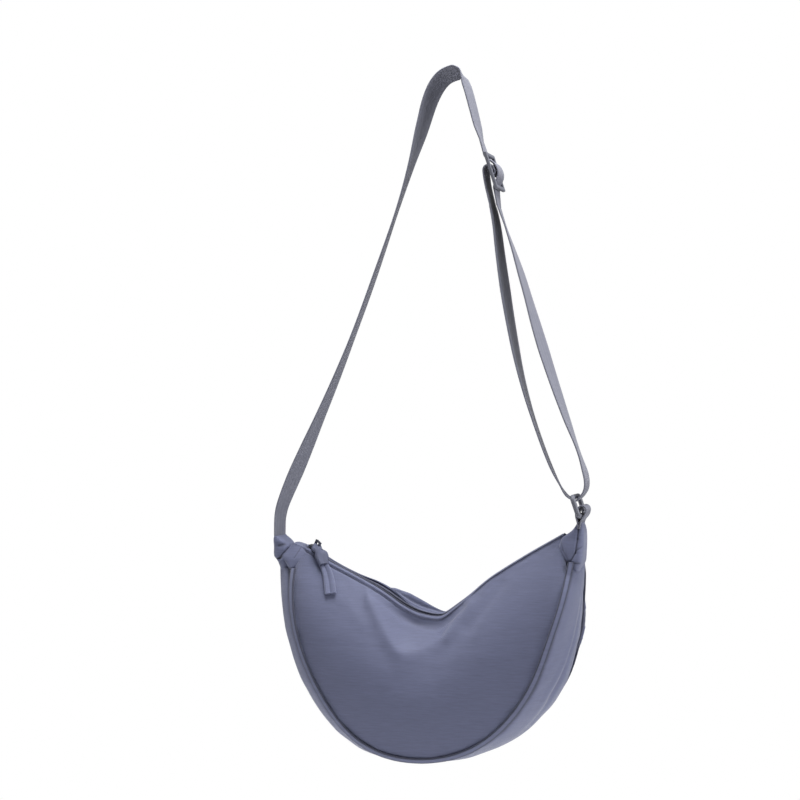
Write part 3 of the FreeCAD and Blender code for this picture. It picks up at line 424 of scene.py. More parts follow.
def eased(values, rounds):
    """Values with their corners rounded off along the last axis, ends kept."""
    values = np.array(values, dtype=float)
    for _ in range(rounds):
        values[..., 1:-1] = (values[..., :-2] + 2 * values[..., 1:-1] + values[..., 2:]) / 4
    return values


def hump(distance, middle, width):
    """A soft bell, 1 at its middle."""
    return np.exp(-((distance - middle) / width) ** 2)


def roll(distance, height, middle, width):
    """A soft roll along an edge, or a groove where height is negative."""
    return height * hump(distance, middle, width)


def bulges(turn, table):
    """Sum of soft bulges round the seam: height, degrees round, and spread in degrees."""
    return sum(roll(np.degrees(turn), *row) for row in table)


def rise_and_fade(distance, rise, fade):
    """0 at an edge, up to 1 over the rise, and away again over the fade."""
    share = np.clip(distance / rise, 0, 1)
    return share ** 2 * (3 - 2 * share) * hump(np.maximum(distance - rise, 0), 0, fade)


def zip_height(x):
    """Height of the zip line, two runs that meet in a rounded valley."""
    left_fall = (ZIP_CORNER[1] - ZIP_LEFT[1]) / (ZIP_CORNER[0] - ZIP_LEFT[0])
    right_rise = (ZIP_RIGHT[1] - ZIP_CORNER[1]) / (ZIP_RIGHT[0] - ZIP_CORNER[0])
    left = ZIP_LEFT[1] + (x - ZIP_LEFT[0]) * left_fall
    right = ZIP_CORNER[1] + (x - ZIP_CORNER[0]) * right_rise
    bend = (left + right + np.sqrt((left - right) ** 2 + ZIP_BEND ** 2)) / 2
    return bend + soft_keys(x, ZIP_SAG, ZIP_SAG_EASE)


def mouth_half(x):
    """Half the width of the mouth along the zip."""
    return soft_keys(x, MOUTH_HALF, MOUTH_EASE)


def mouth_x(turn):
    """Place along the zip that belongs to a turn round the seam."""
    return ZIP_LEFT[0] + (ZIP_RIGHT[0] - ZIP_LEFT[0]) * (1 - np.cos(turn)) / 2


def across_zip(x, reach, lift):
    """A point beside the zip: reach is towards the back, lift is off the tape, both rolled with the zip."""
    angle = ZIP_ROLL * hump(x, ZIP_ROLL_MIDDLE, ZIP_ROLL_SPREAD)
    y = reach * np.cos(angle) - lift * np.sin(angle)
    z = zip_height(x) + reach * np.sin(angle) + lift * np.cos(angle)
    return np.stack([x, y, z], axis=-1)


def seam_half(turn):
    """Half the depth of the bag round the seam."""
    belly = 1 - (1 - np.sin(turn)) ** BELLY_FULLNESS
    return TIP_HALF_DEPTH + (BELLY_HALF_DEPTH - TIP_HALF_DEPTH) * belly


def seam_outward(turn):
    """Direction out of the half ellipse of the seam."""
    outward = np.stack([-np.cos(turn) / SEAM_REACH[0], 0 * turn, -np.sin(turn) / SEAM_REACH[1]], axis=-1)
    return outward / np.linalg.norm(outward, axis=-1, keepdims=True)


def seam_point(turn, side, room):
    """Half moon seam: a half ellipse with a full belly at the lower left and a drawn front at the right."""
    x = SEAM_MIDDLE[0] - (SEAM_REACH[0] - room) * np.cos(turn)
    z = SEAM_MIDDLE[1] - (SEAM_REACH[1] - room) * np.sin(turn)
    shift = bulges(turn, SEAM_BULGES) + bulges(turn, SEAM_BULGES_FRONT) * (1 - side) / 2
    shift = shift + bulges(turn, SEAM_BULGES_REAR) * (1 + side) / 2
    points = np.stack([x, side * seam_half(turn), z], axis=-1)
    return points + seam_outward(turn) * shift[..., None]


def shelf(points):
    """Forward push that turns the cloth under the valley into a hollow shelf with a ridge at its foot."""
    x, y, z = points[..., 0], points[..., 1], points[..., 2]
    finder = BVHTree.FromPolygons(points.reshape(-1, 3).tolist(), grid_faces(*points.shape[:2], False))
    feet = []
    for place in np.arange(*SHELF_SPAN, SHELF_STEP):
        outside = Vector((place, -FAR_OUT, soft_keys(place, RIDGE, RIDGE_EASE)))
        foot, _, _, _ = finder.ray_cast(outside, Vector((0, 1, 0)))
        if foot:
            feet.append((place, -foot.y))
    below = zip_height(x) - z
    reach = np.maximum(zip_height(x) - soft_keys(x, RIDGE, RIDGE_EASE), SHELF_LEAST)
    strength = np.clip((reach - SHELF_START) / SHELF_GROWTH, 0, 1)
    start = mouth_half(x)
    foot = soft_keys(x, feet, SHELF_STEP) + RIDGE_PROUD * strength
    slant = start + (foot - start) * np.clip(below / reach, 0, 1) ** SHELF_HOLLOW
    hang = -y + RIDGE_PROUD * strength * hump(np.maximum(below - reach, 0), 0, RIDGE_FADE)
    push = np.where(below < reach, slant + y, hang + y) * strength
    return eased(push, SHELF_ROUNDS)


def edge_distances(points):
    """How far each point of a panel is from the zip and from the seam, along the cloth."""
    steps = np.linalg.norm(np.diff(points, axis=1), axis=-1)
    zero = np.zeros((len(points), 1))
    from_zip = np.concatenate([zero, np.cumsum(steps, axis=1)], axis=1)
    return from_zip, from_zip[:, -1:] - from_zip


def rear_shape(points, turn):
    """Crest of the rear panel behind the valley, and its round right flank beside the seam."""
    from_zip, from_seam = edge_distances(points)
    crest = soft_keys(points[..., 0], REAR_CREST, CREST_EASE)
    points[..., 2] += crest * rise_and_fade(from_zip, CREST_RISE, CREST_FADE)
    flank = rise_and_fade(from_seam, FLANK_RISE, FLANK_FADE) * bulges(turn, FLANK_BULGES)
    return points + seam_outward(turn) * flank[..., None]


def panel_grid(side, turn, down):
    """Points of a panel, by turn round the seam and share of the way down from the zip."""
    turn = turn[:, None] + 0 * down[None, :]
    down = down[None, :] + 0 * turn
    x = mouth_x(turn)
    top = across_zip(x, side * mouth_half(x), 0 * turn)
    low = seam_point(turn, side + 0 * turn, PANEL_ROOM)
    points = top + (low - top) * down[..., None]
    points[..., 1] += side * PANEL_SWELL * np.sin(turn) * np.sin(math.pi * down ** PANEL_SWELL_LOW)
    if side == FRONT:
        points[..., 1] -= shelf(points)
        return points
    return rear_shape(points, turn)


def grid_normals(points):
    """Directions at right angles to a grid of points."""
    along = np.gradient(points, axis=0)
    across = np.gradient(points, axis=1)
    normal = np.cross(along, across)
    return normal / np.maximum(np.linalg.norm(normal, axis=2, keepdims=True), 1e-9)


def fold(points, start, end, height, width):
    """A soft ridge, or a groove where height is negative, along a line seen from the front."""
    start = np.array(start)
    line = np.array(end) - start
    place = points[..., [0, 2]] - start
    share = np.clip(place @ line / (line @ line), 0, 1)
    gap = np.linalg.norm(place - share[..., None] * line, axis=-1)
    return roll(gap, height, 0, width)


def ripple(points, scale, seed):
    """Smooth noise over points, with its own scale on each axis."""
    shift = Vector((seed * 7.31, seed * 3.17, seed * 5.71))
    flat = points.reshape(-1, 3) * np.array(scale)
    values = [noise.noise(Vector(p) + shift) for p in flat]
    return np.array(values).reshape(points.shape[:-1])


def even_steps(count, ends):
    """Steps from 0 to 1 that bunch up towards both ends."""
    steps = np.linspace(0, 1, count)
    return steps * (1 - ends) + (1 - np.cos(math.pi * steps)) / 2 * ends


def lengths_along(points):
    """Distance along a line at each of its points."""
    steps = np.linalg.norm(np.diff(points, axis=0), axis=-1)
    return np.concatenate([[0], np.cumsum(steps)])


def grid_uv(points):
    """Cloth coordinates in metres, so a weave keeps its scale."""
    rows, columns = points.shape[:2]
    uv = np.zeros((rows, columns, 2))
    uv[..., 0] = lengths_along(points[:, columns // 2])[:, None] * MM
    uv[..., 1] = lengths_along(points[rows // 2])[None, :] * MM
    return uv


# Meshes

def put_in_scene(name, mesh):
    piece = bpy.data.objects.new(name, mesh)
    bpy.context.scene.collection.objects.link(piece)
    return piece


def make_piece(name, points, faces, material, uv=None):
    """A smooth mesh object from points in millimetres."""
    mesh = bpy.data.meshes.new(name)
    mesh.from_pydata((np.asarray(points) * MM).tolist(), [], faces)
    if uv is not None:
        corner = np.zeros(len(mesh.loops), dtype=np.int32)
        mesh.loops.foreach_get("vertex_index", corner)
        layer = mesh.uv_layers.new(name="Cloth")
        layer.data.foreach_set("uv", np.asarray(uv)[corner].astype(np.float32).ravel())
    mesh.validate()
    for polygon in mesh.polygons:
        polygon.use_smooth = True
    mesh.materials.append(material)
    return put_in_scene(name, mesh)


def grid_faces(rows, columns, flip, wrap=False):
    """Faces between the points of a grid, which wrap closes round its columns."""
    row = np.arange(rows - 1)[:, None]
    column = np.arange(columns if wrap else columns - 1)[None, :]
    after = (column + 1) % columns
    corners = [row * columns + column, (row + 1) * columns + column,
               (row + 1) * columns + after, row * columns + after]
    faces = np.stack(np.broadcast_arrays(*corners), axis=-1).reshape(-1, 4)
    if flip:
        faces = faces[:, ::-1]
    return faces.tolist()


def mark_crease_shade(piece, crease):
    """Keep the painted shade of the creases, from 0 to 1, with the points of a piece."""
    layer = piece.data.attributes.new("Crease", "FLOAT", "POINT")
    layer.data.foreach_set("value", np.clip(crease, 0, 1).astype(np.float32).ravel())


def sheet_piece(name, points, material, flip, thick, crease=None):
    """A cloth sheet from a grid of points on its outer face, with its thickness inward."""
    rows, columns = points.shape[:2]
    uv = grid_uv(points).reshape(-1, 2)
    piece = make_piece(name, points.reshape(-1, 3), grid_faces(rows, columns, flip), material, uv)
    if crease is not None:
        mark_crease_shade(piece, crease)
    wall = piece.modifiers.new("Thickness", "SOLIDIFY")
    wall.thickness = thick * MM
    wall.offset = -1
    return piece


def outward_faces(piece):
    """Turn every face of a closed piece outwards."""
    mesh = piece.data
    middle = sum((polygon.center * polygon.area for polygon in mesh.polygons), Vector())
    middle = middle / sum(polygon.area for polygon in mesh.polygons)
    if sum((polygon.center - middle).dot(polygon.normal) * polygon.area for polygon in mesh.polygons) < 0:
        mesh.flip_normals()
    return piece


def tube_piece(name, rings, material, uv):
    """A closed tube from rings of points, with a flat cap at each end."""
    rows, columns = rings.shape[:2]
    faces = grid_faces(rows, columns, True, wrap=True)
    faces.append(list(range(columns))[::-1])
    faces.append(list(range((rows - 1) * columns, rows * columns)))
    piece = make_piece(name, rings.reshape(-1, 3), faces, material, uv.reshape(-1, 2))
    for cap in piece.data.polygons[-2:]:
        cap.use_smooth = False
    return outward_faces(piece)


def smooth_path(points):
    """Points along a smooth spline that has the given points as its control points."""
    curve = bpy.data.curves.new("route", "CURVE")
    curve.dimensions = "3D"
    curve.resolution_u = 16
    spline = curve.splines.new("NURBS")
    spline.points.add(len(points) - 1)
    for control, point in zip(spline.points, points):
        control.co = (point[0] * MM, point[1] * MM, point[2] * MM, 1)
    spline.order_u = 3
    spline.use_endpoint_u = True
    carrier = put_in_scene("route", curve)
    bpy.context.view_layer.update()
    ready = carrier.evaluated_get(bpy.context.evaluated_depsgraph_get())
    mesh = bpy.data.meshes.new_from_object(ready)
    path = np.array([tuple(vertex.co) for vertex in mesh.vertices]) / MM
    bpy.data.objects.remove(carrier)
    bpy.data.curves.remove(curve)
    bpy.data.meshes.remove(mesh)
    return path


def path_directions(path):
    """Direction along a path at each of its points."""
    tangent = np.gradient(path, axis=0)
    return tangent / np.linalg.norm(tangent, axis=1, keepdims=True)


def ribbon_section(width, thick, groove):
    """A flat section with round edges: places across and through, with a groove down its middle."""
    half = width / 2
    deep = thick / 2
    inner = half - deep
    corner = deep * RIBBON_ROUND
    face = []
    for place in np.linspace(-inner, inner, RIBBON_POINTS):
        crown = RIBBON_CROWN * math.cos(math.pi * place / half)
        face.append((place, deep * (1 - crown - roll(place / half, groove, 0, RIBBON_GROOVE_WIDTH))))
    edge = [(inner + corner, corner), (half, 0.0), (inner + corner, -corner)]
    back = [(across, -through) for across, through in reversed(face)]
    other = [(-across, -through) for across, through in edge]
    return np.array(face + edge + back + other)


def with_close_ends(rows):
    """Rows with one more row close to each end, so that the shading of a cap stays at the cap."""
    first = rows[0] + (rows[1] - rows[0]) * CLOSE_END
    last = rows[-1] + (rows[-2] - rows[-1]) * CLOSE_END
    return np.concatenate([rows[:1], [first], rows[1:-1], [last], rows[-1:]])


def ribbon_piece(name, path, across, width, thick, material, groove=0.0, taper=None):
    """Flat webbing along a path, with the direction across it, and its width by share along."""
    shares = with_close_ends(np.linspace(0, 1, len(path)))
    across = with_close_ends(np.zeros_like(path) + across)
    path = with_close_ends(path)
    tangent = path_directions(path)
    across = across - tangent * np.sum(across * tangent, axis=1, keepdims=True)
    across = across / np.linalg.norm(across, axis=1, keepdims=True)
    through = np.cross(tangent, across)
    if taper:
        across = across * between_keys(shares, taper)[:, None]
    section = ribbon_section(width, thick, groove)
    rings = (path[:, None, :] + across[:, None, :] * section[None, :, 0, None]
             + through[:, None, :] * section[None, :, 1, None])
    uv = np.zeros(rings.shape[:2] + (2,))
    uv[..., 0] = lengths_along(path)[:, None] * MM
    uv[..., 1] = section[None, :, 0] * MM
    return tube_piece(name, rings, material, uv)


def boxy_outline(power, count):
    """A rounded square from -1 to 1, in even steps, which is a circle at a power of 2."""
    angle = np.linspace(0, 2 * math.pi, 1200)
    line = [np.sign(wave) * np.abs(wave) ** (2 / power) for wave in (np.cos(angle), np.sin(angle))]
    line = np.stack(line, axis=1)
    place = lengths_along(line)
    wanted = np.linspace(0, place[-1], count, endpoint=False)
    return np.stack([np.interp(wanted, place, line[:, k]) for k in (0, 1)], axis=1)


def stuffed_tip(name, levels, folds, fall, material):
    """A stuffed tip of folded cloth from its levels and folds, with its top falling off to the right and
    painted shade in its grooves.
    """
    levels = sorted(levels)
    z = np.linspace(levels[-1][0], levels[0][0], TIP_ROWS)
    keys = [[(level[0], level[k]) for level in levels] for k in (1, 2, 3, 4)]
    left, right, deep, boxy = (soft_keys(z, key, TIP_EASE)[:, None] for key in keys)
    circle = boxy_outline(2, TIP_SIDES)
    square = boxy_outline(TIP_BOXINESS, TIP_SIDES)
    across, through = (circle[None, :, k] + (square - circle)[None, :, k] * boxy for k in (0, 1))
    x = (left + right) / 2 + (right - left) / 2 * across
    upper = np.linspace(1, 0, TIP_ROWS)[:, None] ** 0.7
    rings = np.stack([x, deep * through, z[:, None] - fall * upper * (x - left.max())], axis=-1)
    facing = np.clip(-through / 0.9, 0, 1) ** 2
    lift = np.zeros(rings.shape[:2])
    crease = np.zeros(rings.shape[:2])
    for start, end, height, width in folds:
        shape = fold(rings, start, end, 1.0, width) * facing
        lift += shape * height
        if height < 0:
            # Painted shade in the groove
            crease += shape ** 3 * min(1, -height)
    away_from_ends = 1 - np.abs(np.linspace(-1, 1, TIP_ROWS))[:, None] ** 8
    lift += TIP_CRINKLE_HEIGHT * ripple(rings, TIP_CRINKLE_SCALE, 41) * away_from_ends
    rings[..., 1] -= lift * np.where(through < 0, 1, -0.5)
    piece = tube_piece(name, rings, material, rings[..., [0, 2]] * MM)
    mark_crease_shade(piece, crease)
    return piece


def surface_of(piece):
    """A finder of places on a finished piece."""
    ready = piece.evaluated_get(bpy.context.evaluated_depsgraph_get())
    return BVHTree.FromObject(ready, bpy.context.evaluated_depsgraph_get())


def front_place(finder, x, z, lift):
    """A place lifted off the outer face of a piece at x and z, seen from the front."""
    start = Vector((x * MM, -FAR_OUT * MM, z * MM))
    place, normal, _, _ = finder.ray_cast(start, Vector((0, 1, 0)))
    if place is None:
        raise RuntimeError(f"nothing to sew on at {x}, {z}")
    if normal.y > 0:
        normal = -normal
    return np.array(place + normal * lift * MM) / MM


# Repeated pieces by Geometry Nodes

def socket_names(tree):
    return {item.name: item.identifier for item in tree.interface.items_tree if item.in_out == "INPUT"}


def repeat_tree():
    """A tree that sets one small rounded grain at even steps along lines."""
    known = bpy.data.node_groups.get("grains along lines")
    if known:
        return known
    tree = bpy.data.node_groups.new("grains along lines", "GeometryNodeTree")
    sockets = tree.interface
    sockets.new_socket("Lines", in_out="INPUT", socket_type="NodeSocketGeometry")
    for label in ("Pitch", "Grain length", "Grain width", "Grain height"):
        sockets.new_socket(label, in_out="INPUT", socket_type="NodeSocketFloat")
    sockets.new_socket("Finish", in_out="INPUT", socket_type="NodeSocketMaterial")
    sockets.new_socket("Grains", in_out="OUTPUT", socket_type="NodeSocketGeometry")
    nodes = tree.nodes
    given = nodes.new("NodeGroupInput")
    line = nodes.new("GeometryNodeMeshToCurve")
    places = nodes.new("GeometryNodeCurveToPoints")
    places.mode = "LENGTH"
    ball = nodes.new("GeometryNodeMeshUVSphere")
    ball.inputs["Segments"].default_value = 6
    ball.inputs["Rings"].default_value = 4
    ball.inputs["Radius"].default_value = 0.5
    sizes = nodes.new("ShaderNodeCombineXYZ")
    grain = nodes.new("GeometryNodeTransform")
    turn = nodes.new("FunctionNodeAlignRotationToVector")
    turn.axis = "X"
    copies = nodes.new("GeometryNodeInstanceOnPoints")
    real = nodes.new("GeometryNodeRealizeInstances")
    smooth = nodes.new("GeometryNodeSetShadeSmooth")
    finish = nodes.new("GeometryNodeSetMaterial")
    out = nodes.new("NodeGroupOutput")
    for source, output, target, label in (
            (given, "Lines", line, "Mesh"),
            (line, "Curve", places, "Curve"),
            (given, "Pitch", places, "Length"),
            (given, "Grain length", sizes, "X"),
            (given, "Grain width", sizes, "Y"),
            (given, "Grain height", sizes, "Z"),
            (ball, "Mesh", grain, "Geometry"),
            (sizes, "Vector", grain, "Scale"),
            (places, "Tangent", turn, "Vector"),
            (places, "Points", copies, "Points"),
            (grain, "Geometry", copies, "Instance"),
            (turn, "Rotation", copies, "Rotation"),
            (copies, "Instances", real, "Geometry"),
            (real, "Geometry", smooth, "Geometry"),
            (smooth, "Geometry", finish, "Geometry"),
            (given, "Finish", finish, "Material"),
            (finish, "Geometry", out, "Grains")):
        tree.links.new(source.outputs[output], target.inputs[label])
    return tree


def grains_along(name, lines, pitch, size, material):
    """One mesh of grains set along lines, each line a row of points in millimetres."""
    points = []
    edges = []
    for line in lines:
        first = len(points)
        points.extend((np.asarray(line) * MM).tolist())
        edges.extend((first + k, first + k + 1) for k in range(len(line) - 1))
    base = bpy.data.meshes.new(name + "_lines")
    base.from_pydata(points, edges, [])
    carrier = bpy.data.objects.new(name + "_lines", base)
    tree = repeat_tree()
    sockets = socket_names(tree)
    step = carrier.modifiers.new("Grains", "NODES")
    step.node_group = tree
    step[sockets["Pitch"]] = pitch * MM
    step[sockets["Grain length"]] = size[0] * MM
    step[sockets["Grain width"]] = size[1] * MM
    step[sockets["Grain height"]] = size[2] * MM
    step[sockets["Finish"]] = material
    bpy.context.scene.collection.objects.link(carrier)
    bpy.context.view_layer.update()
    ready = carrier.evaluated_get(bpy.context.evaluated_depsgraph_get())
    mesh = bpy.data.meshes.new_from_object(ready)
    mesh.name = name
    bpy.data.objects.remove(carrier)
    bpy.data.meshes.remove(base)
    if not mesh.polygons:
        raise RuntimeError(f"{name} came out empty")
    return put_in_scene(name, mesh)


# Finishes

def feed(tree, value, socket):
    """Put a number on a socket, or link a node's output to it."""
    if isinstance(value, (int, float)):
        socket.default_value = value
    else:
        tree.links.new(value, socket)


def math_node(tree, operation, *values):
    node = tree.nodes.new("ShaderNodeMath")
    node.operation = operation
    for socket, value in zip(node.inputs, values):
        feed(tree, value, socket)
    return node.outputs[0]


def phase(tree, place, count, turn):
    """Angle that grows by a turn at each of a count of steps a metre."""
    return math_node(tree, "MULTIPLY", math_node(tree, "MULTIPLY", place, count), turn)


def noise_node(tree, vector, scale, detail=2.0, rough=0.5, distortion=0.0):
    """Smooth noise from 0 to 1."""
    node = tree.nodes.new("ShaderNodeTexNoise")
    feed(tree, vector, node.inputs["Vector"])
    feed(tree, scale, node.inputs["Scale"])
    feed(tree, detail, node.inputs["Detail"])
    feed(tree, rough, node.inputs["Roughness"])
    feed(tree, distortion, node.inputs["Distortion"])
    return node.outputs[0]


def stretched(tree, vector, scale):
    """A place with its own scale on each axis."""
    node = tree.nodes.new("ShaderNodeMapping")
    node.inputs["Scale"].default_value = scale
    tree.links.new(vector, node.inputs["Vector"])
    return node.outputs["Vector"]


def new_group(name, inputs, outputs):
    """A shader group whose first input is a vector, with numbers for its other inputs and its outputs."""
    group = bpy.data.node_groups.new(name, "ShaderNodeTree")
    group.interface.new_socket(inputs[0], in_out="INPUT", socket_type="NodeSocketVector")
    for label in inputs[1:]:
        group.interface.new_socket(label, in_out="INPUT", socket_type="NodeSocketFloat")
    for label in outputs:
        group.interface.new_socket(label, in_out="OUTPUT", socket_type="NodeSocketFloat")
    return group, group.nodes.new("NodeGroupInput").outputs, group.nodes.new("NodeGroupOutput").inputs


def weave_group():
    """Over and under threads of a plain weave, from cloth coordinates and threads a metre."""
    known = bpy.data.node_groups.get("plain weave")
    if known:
        return known
    group, given, out = new_group("plain weave", ["Cloth", "Threads"], ["Height"])
    apart = group.nodes.new("ShaderNodeSeparateXYZ")
    group.links.new(given["Cloth"], apart.inputs[0])
    warp, weft = (
        math_node(group, "SINE", phase(group, apart.outputs[k], given["Threads"], math.pi)) for k in (0, 1))
    crossing = math_node(group, "MULTIPLY", warp, weft)
    group.links.new(math_node(group, "MULTIPLY_ADD", crossing, 0.5, 0.5), out["Height"])
    return group


def ribs_group():
    """Ribs of flat webbing: fine cross ribs in lengthwise bands, from cloth coordinates."""
    known = bpy.data.node_groups.get("webbing ribs")
    if known:
        return known
    group, given, out = new_group("webbing ribs", ["Cloth", "Ribs", "Bands"], ["Height", "Band"])
    apart = group.nodes.new("ShaderNodeSeparateXYZ")
    group.links.new(given["Cloth"], apart.inputs[0])
    wave = math_node(group, "SINE", phase(group, apart.outputs[1], given["Bands"], 2 * math.pi))
    slant = math_node(group, "MULTIPLY", wave, 1.4)
    run = phase(group, apart.outputs[0], given["Ribs"], 2 * math.pi)
    rib = math_node(group, "SINE", math_node(group, "ADD", run, slant))
    height = math_node(group, "MULTIPLY_ADD", rib, 0.35, math_node(group, "MULTIPLY", wave, 0.15))
    group.links.new(height, out["Height"])
    group.links.new(math_node(group, "MULTIPLY_ADD", wave, 0.5, 0.5), out["Band"])
    return group


def crinkle_group():
    """Soft creases and uneven fading of worn cloth, by place on the object."""
    known = bpy.data.node_groups.get("cloth crinkle")
    if known:
        return known
    group, given, out = new_group("cloth crinkle", ["Place", "Size"], ["Height", "Fade"])
    creases = stretched(group, given["Place"], (0.45, 0.6, 1.35))
    slubs = stretched(group, given["Place"], (70, 70, 950))
    group.links.new(noise_node(group, creases, given["Size"], 4.0, 0.55, 0.6), out["Height"])
    group.links.new(noise_node(group, slubs, 1.0, 4.0, 0.65), out["Fade"])
    return group


def new_material(name):
    """A material with its tree, its shader and the place coordinates that its patterns read."""
    material = bpy.data.materials.new(name)
    material.use_nodes = True
    tree = material.node_tree
    shader = next(node for node in tree.nodes if node.type == "BSDF_PRINCIPLED")
    return material, tree, shader, tree.nodes.new("ShaderNodeTexCoord").outputs


def use_group(tree, group, vector, **values):
    node = tree.nodes.new("ShaderNodeGroup")
    node.node_tree = group
    tree.links.new(vector, node.inputs[0])
    for label, value in values.items():
        node.inputs[label.capitalize()].default_value = value
    return node.outputs


def two_tone(tree, factor, colour, spread):
    """A colour that drifts a little darker and lighter with a value from 0 to 1."""
    mix = tree.nodes.new("ShaderNodeMix")
    mix.data_type = "RGBA"
    mix.inputs["A"].default_value = [c * (1 - spread) for c in colour[:3]] + [1]
    mix.inputs["B"].default_value = [min(1, c * (1 + spread)) for c in colour[:3]] + [1]
    tree.links.new(factor, mix.inputs["Factor"])
    return mix.outputs["Result"]


def crease_shade_colour(tree, colour, plain):
    """A colour with painted shade where the points of a piece are marked as creased."""
    marked = tree.nodes.new("ShaderNodeAttribute")
    marked.attribute_name = "Crease"
    mix = tree.nodes.new("ShaderNodeMix")
    mix.data_type = "RGBA"
    # Painted shade: a marked point goes down to a fifth of the plain colour
    tree.links.new(math_node(tree, "MULTIPLY", marked.outputs["Fac"], 0.9), mix.inputs["Factor"])
    tree.links.new(colour, mix.inputs["A"])
    mix.inputs["B"].default_value = [c * 0.2 for c in plain[:3]] + [1]
    return mix.outputs["Result"]


def bump_on(tree, height, distance, below=None):
    """Normals bumped by a height, over the normals of a coarser bump below."""
    bump = tree.nodes.new("ShaderNodeBump")
    bump.inputs["Distance"].default_value = distance
    bump.inputs["Strength"].default_value = 1.0
    tree.links.new(height, bump.inputs["Height"])
    if below is not None:
        tree.links.new(below, bump.inputs["Normal"])
    return bump.outputs["Normal"]


def rough_by(tree, shader, value, low, high):
    """Roughness that goes from low to high with a value from 0 to 1."""
    span = tree.nodes.new("ShaderNodeMapRange")
    span.inputs["To Min"].default_value = low
    span.inputs["To Max"].default_value = high
    tree.links.new(value, span.inputs["Value"])
    tree.links.new(span.outputs["Result"], shader.inputs["Roughness"])


def cloth_material(name, colour, threads, crease, crease_depth, sheen, rough):
    """Matte woven nylon with soft creases, uneven fading, painted shade where its creases are marked, and a
    little sheen.
    """
    material, tree, shader, place = new_material(name)
    worn = use_group(tree, crinkle_group(), place["Object"], size=crease)
    weave = use_group(tree, weave_group(), place["UV"], threads=threads)
    faded = two_tone(tree, worn["Fade"], colour, 0.24)
    tree.links.new(crease_shade_colour(tree, faded, colour), shader.inputs["Base Color"])
    creased = bump_on(tree, worn["Height"], crease_depth)
    tree.links.new(bump_on(tree, weave["Height"], WEAVE_DEPTH, creased), shader.inputs["Normal"])
    rough_by(tree, shader, worn["Fade"], rough - 0.06, rough + 0.06)
    shader.inputs["Sheen Weight"].default_value = sheen
    shader.inputs["Sheen Roughness"].default_value = 0.45
    shader.inputs["Specular IOR Level"].default_value = 0.35
    return material


def webbing_material(name, colour):
    """Flat ribbed webbing with a soft satin face."""
    material, tree, shader, place = new_material(name)
    ribs = use_group(tree, ribs_group(), place["UV"], ribs=900.0, bands=160.0)
    worn = use_group(tree, crinkle_group(), place["Object"], size=60.0)
    tree.links.new(two_tone(tree, ribs["Band"], colour, 0.05), shader.inputs["Base Color"])
    creased = bump_on(tree, worn["Height"], WEBBING_CREASE_DEPTH)
    tree.links.new(bump_on(tree, ribs["Height"], RIB_DEPTH, creased), shader.inputs["Normal"])
    rough_by(tree, shader, worn["Fade"], 0.5, 0.64)
    shader.inputs["Sheen Weight"].default_value = 0.2
    shader.inputs["Sheen Roughness"].default_value = 0.4
    return material


def hard_material(name, colour, metallic, rough, coat, grain):
    """Moulded plastic or painted metal with a fine grain and faint handling wear."""
    material, tree, shader, place = new_material(name)
    fine = noise_node(tree, place["Object"], grain, 3.0)
    handled = noise_node(tree, place["Object"], 180.0, 4.0)
    tree.links.new(two_tone(tree, handled, colour, 0.06), shader.inputs["Base Color"])
    rough_by(tree, shader, handled, rough - 0.08, rough + 0.08)
    tree.links.new(bump_on(tree, fine, GRAIN_DEPTH), shader.inputs["Normal"])
    shader.inputs["Metallic"].default_value = metallic
    shader.inputs["Coat Weight"].default_value = coat
    return material


def finish_for(context, slot):
    """The finish of one material slot, made once."""
    name = "bag_" + slot
    known = bpy.data.materials.get(name)
    if known:
        return known
    colour = getattr(context.scene.bag_tones, slot)
    if slot in CLOTHS:
        return cloth_material(name, colour, *CLOTHS[slot])
    if slot in HARD_FINISHES:
        return hard_material(name, colour, *HARD_FINISHES[slot])
    return webbing_material(name, colour)


# Cloth

def lip_and_seam(points, side):
    """Rolled lip at the zip, its stitched groove, the pull of the bound seam, and the painted shade of the
    creases they make.
    """
    from_zip, from_seam = edge_distances(points)
    x = points[..., 0]
    stitched = np.clip((STITCH_END - x) / STITCH_FADE, 0, 1) if side == FRONT else 1
    pucker = ripple(points, PUCKER_SCALE, 5 + side)
    lift = roll(from_zip, *LIP_ROLL) + roll(from_zip, *LIP_STITCH) * stitched + roll(from_seam, *SEAM_PULL)
    lift += pucker * (roll(from_seam, *SEAM_PUCKER[side]) + roll(from_zip, *LIP_PUCKER))
    # Painted shade in the stitched groove and beside the bound seam
    crease = roll(from_zip, *LIP_SHADE) * stitched + roll(from_seam, *SEAM_SHADE)
    if side == FRONT:
        hollow = hump(from_zip, *HOLLOW_DOWN) * hump(x, *HOLLOW_ALONG)
        lift -= HOLLOW_DEPTH * hollow
        # Painted shade in the hollow under the lip
        crease += HOLLOW_SHADE * hollow
    return lift, crease


def dressed_panel(side, rows, columns):
    """A panel with its folds, lip, seam pull and crinkles, its outward directions and the painted shade of
    its creases.
    """
    turn = math.pi * even_steps(rows, PANEL_BUNCHING[0])
    down = even_steps(columns, PANEL_BUNCHING[1])
    points = panel_grid(side, turn, down)
    outward = grid_normals(points) * side
    lift, crease = lip_and_seam(points, side)
    lift += sum(fold(points, *line) for line in (FRONT_FOLDS if side == FRONT else REAR_FOLDS))
    middle = np.sin(turn)[:, None] * np.sin(math.pi * down)[None, :]
    lift += PANEL_WAVE_HEIGHT * middle * ripple(points, PANEL_WAVE_SCALE, 1 + side)
    crinkle = ripple(points, PANEL_CRINKLE_SCALE, 11 + side) * np.sqrt(np.clip(middle, 0, 1))
    lift += PANEL_CRINKLE_HEIGHT * crinkle
    return points + outward * lift[..., None], outward, crease


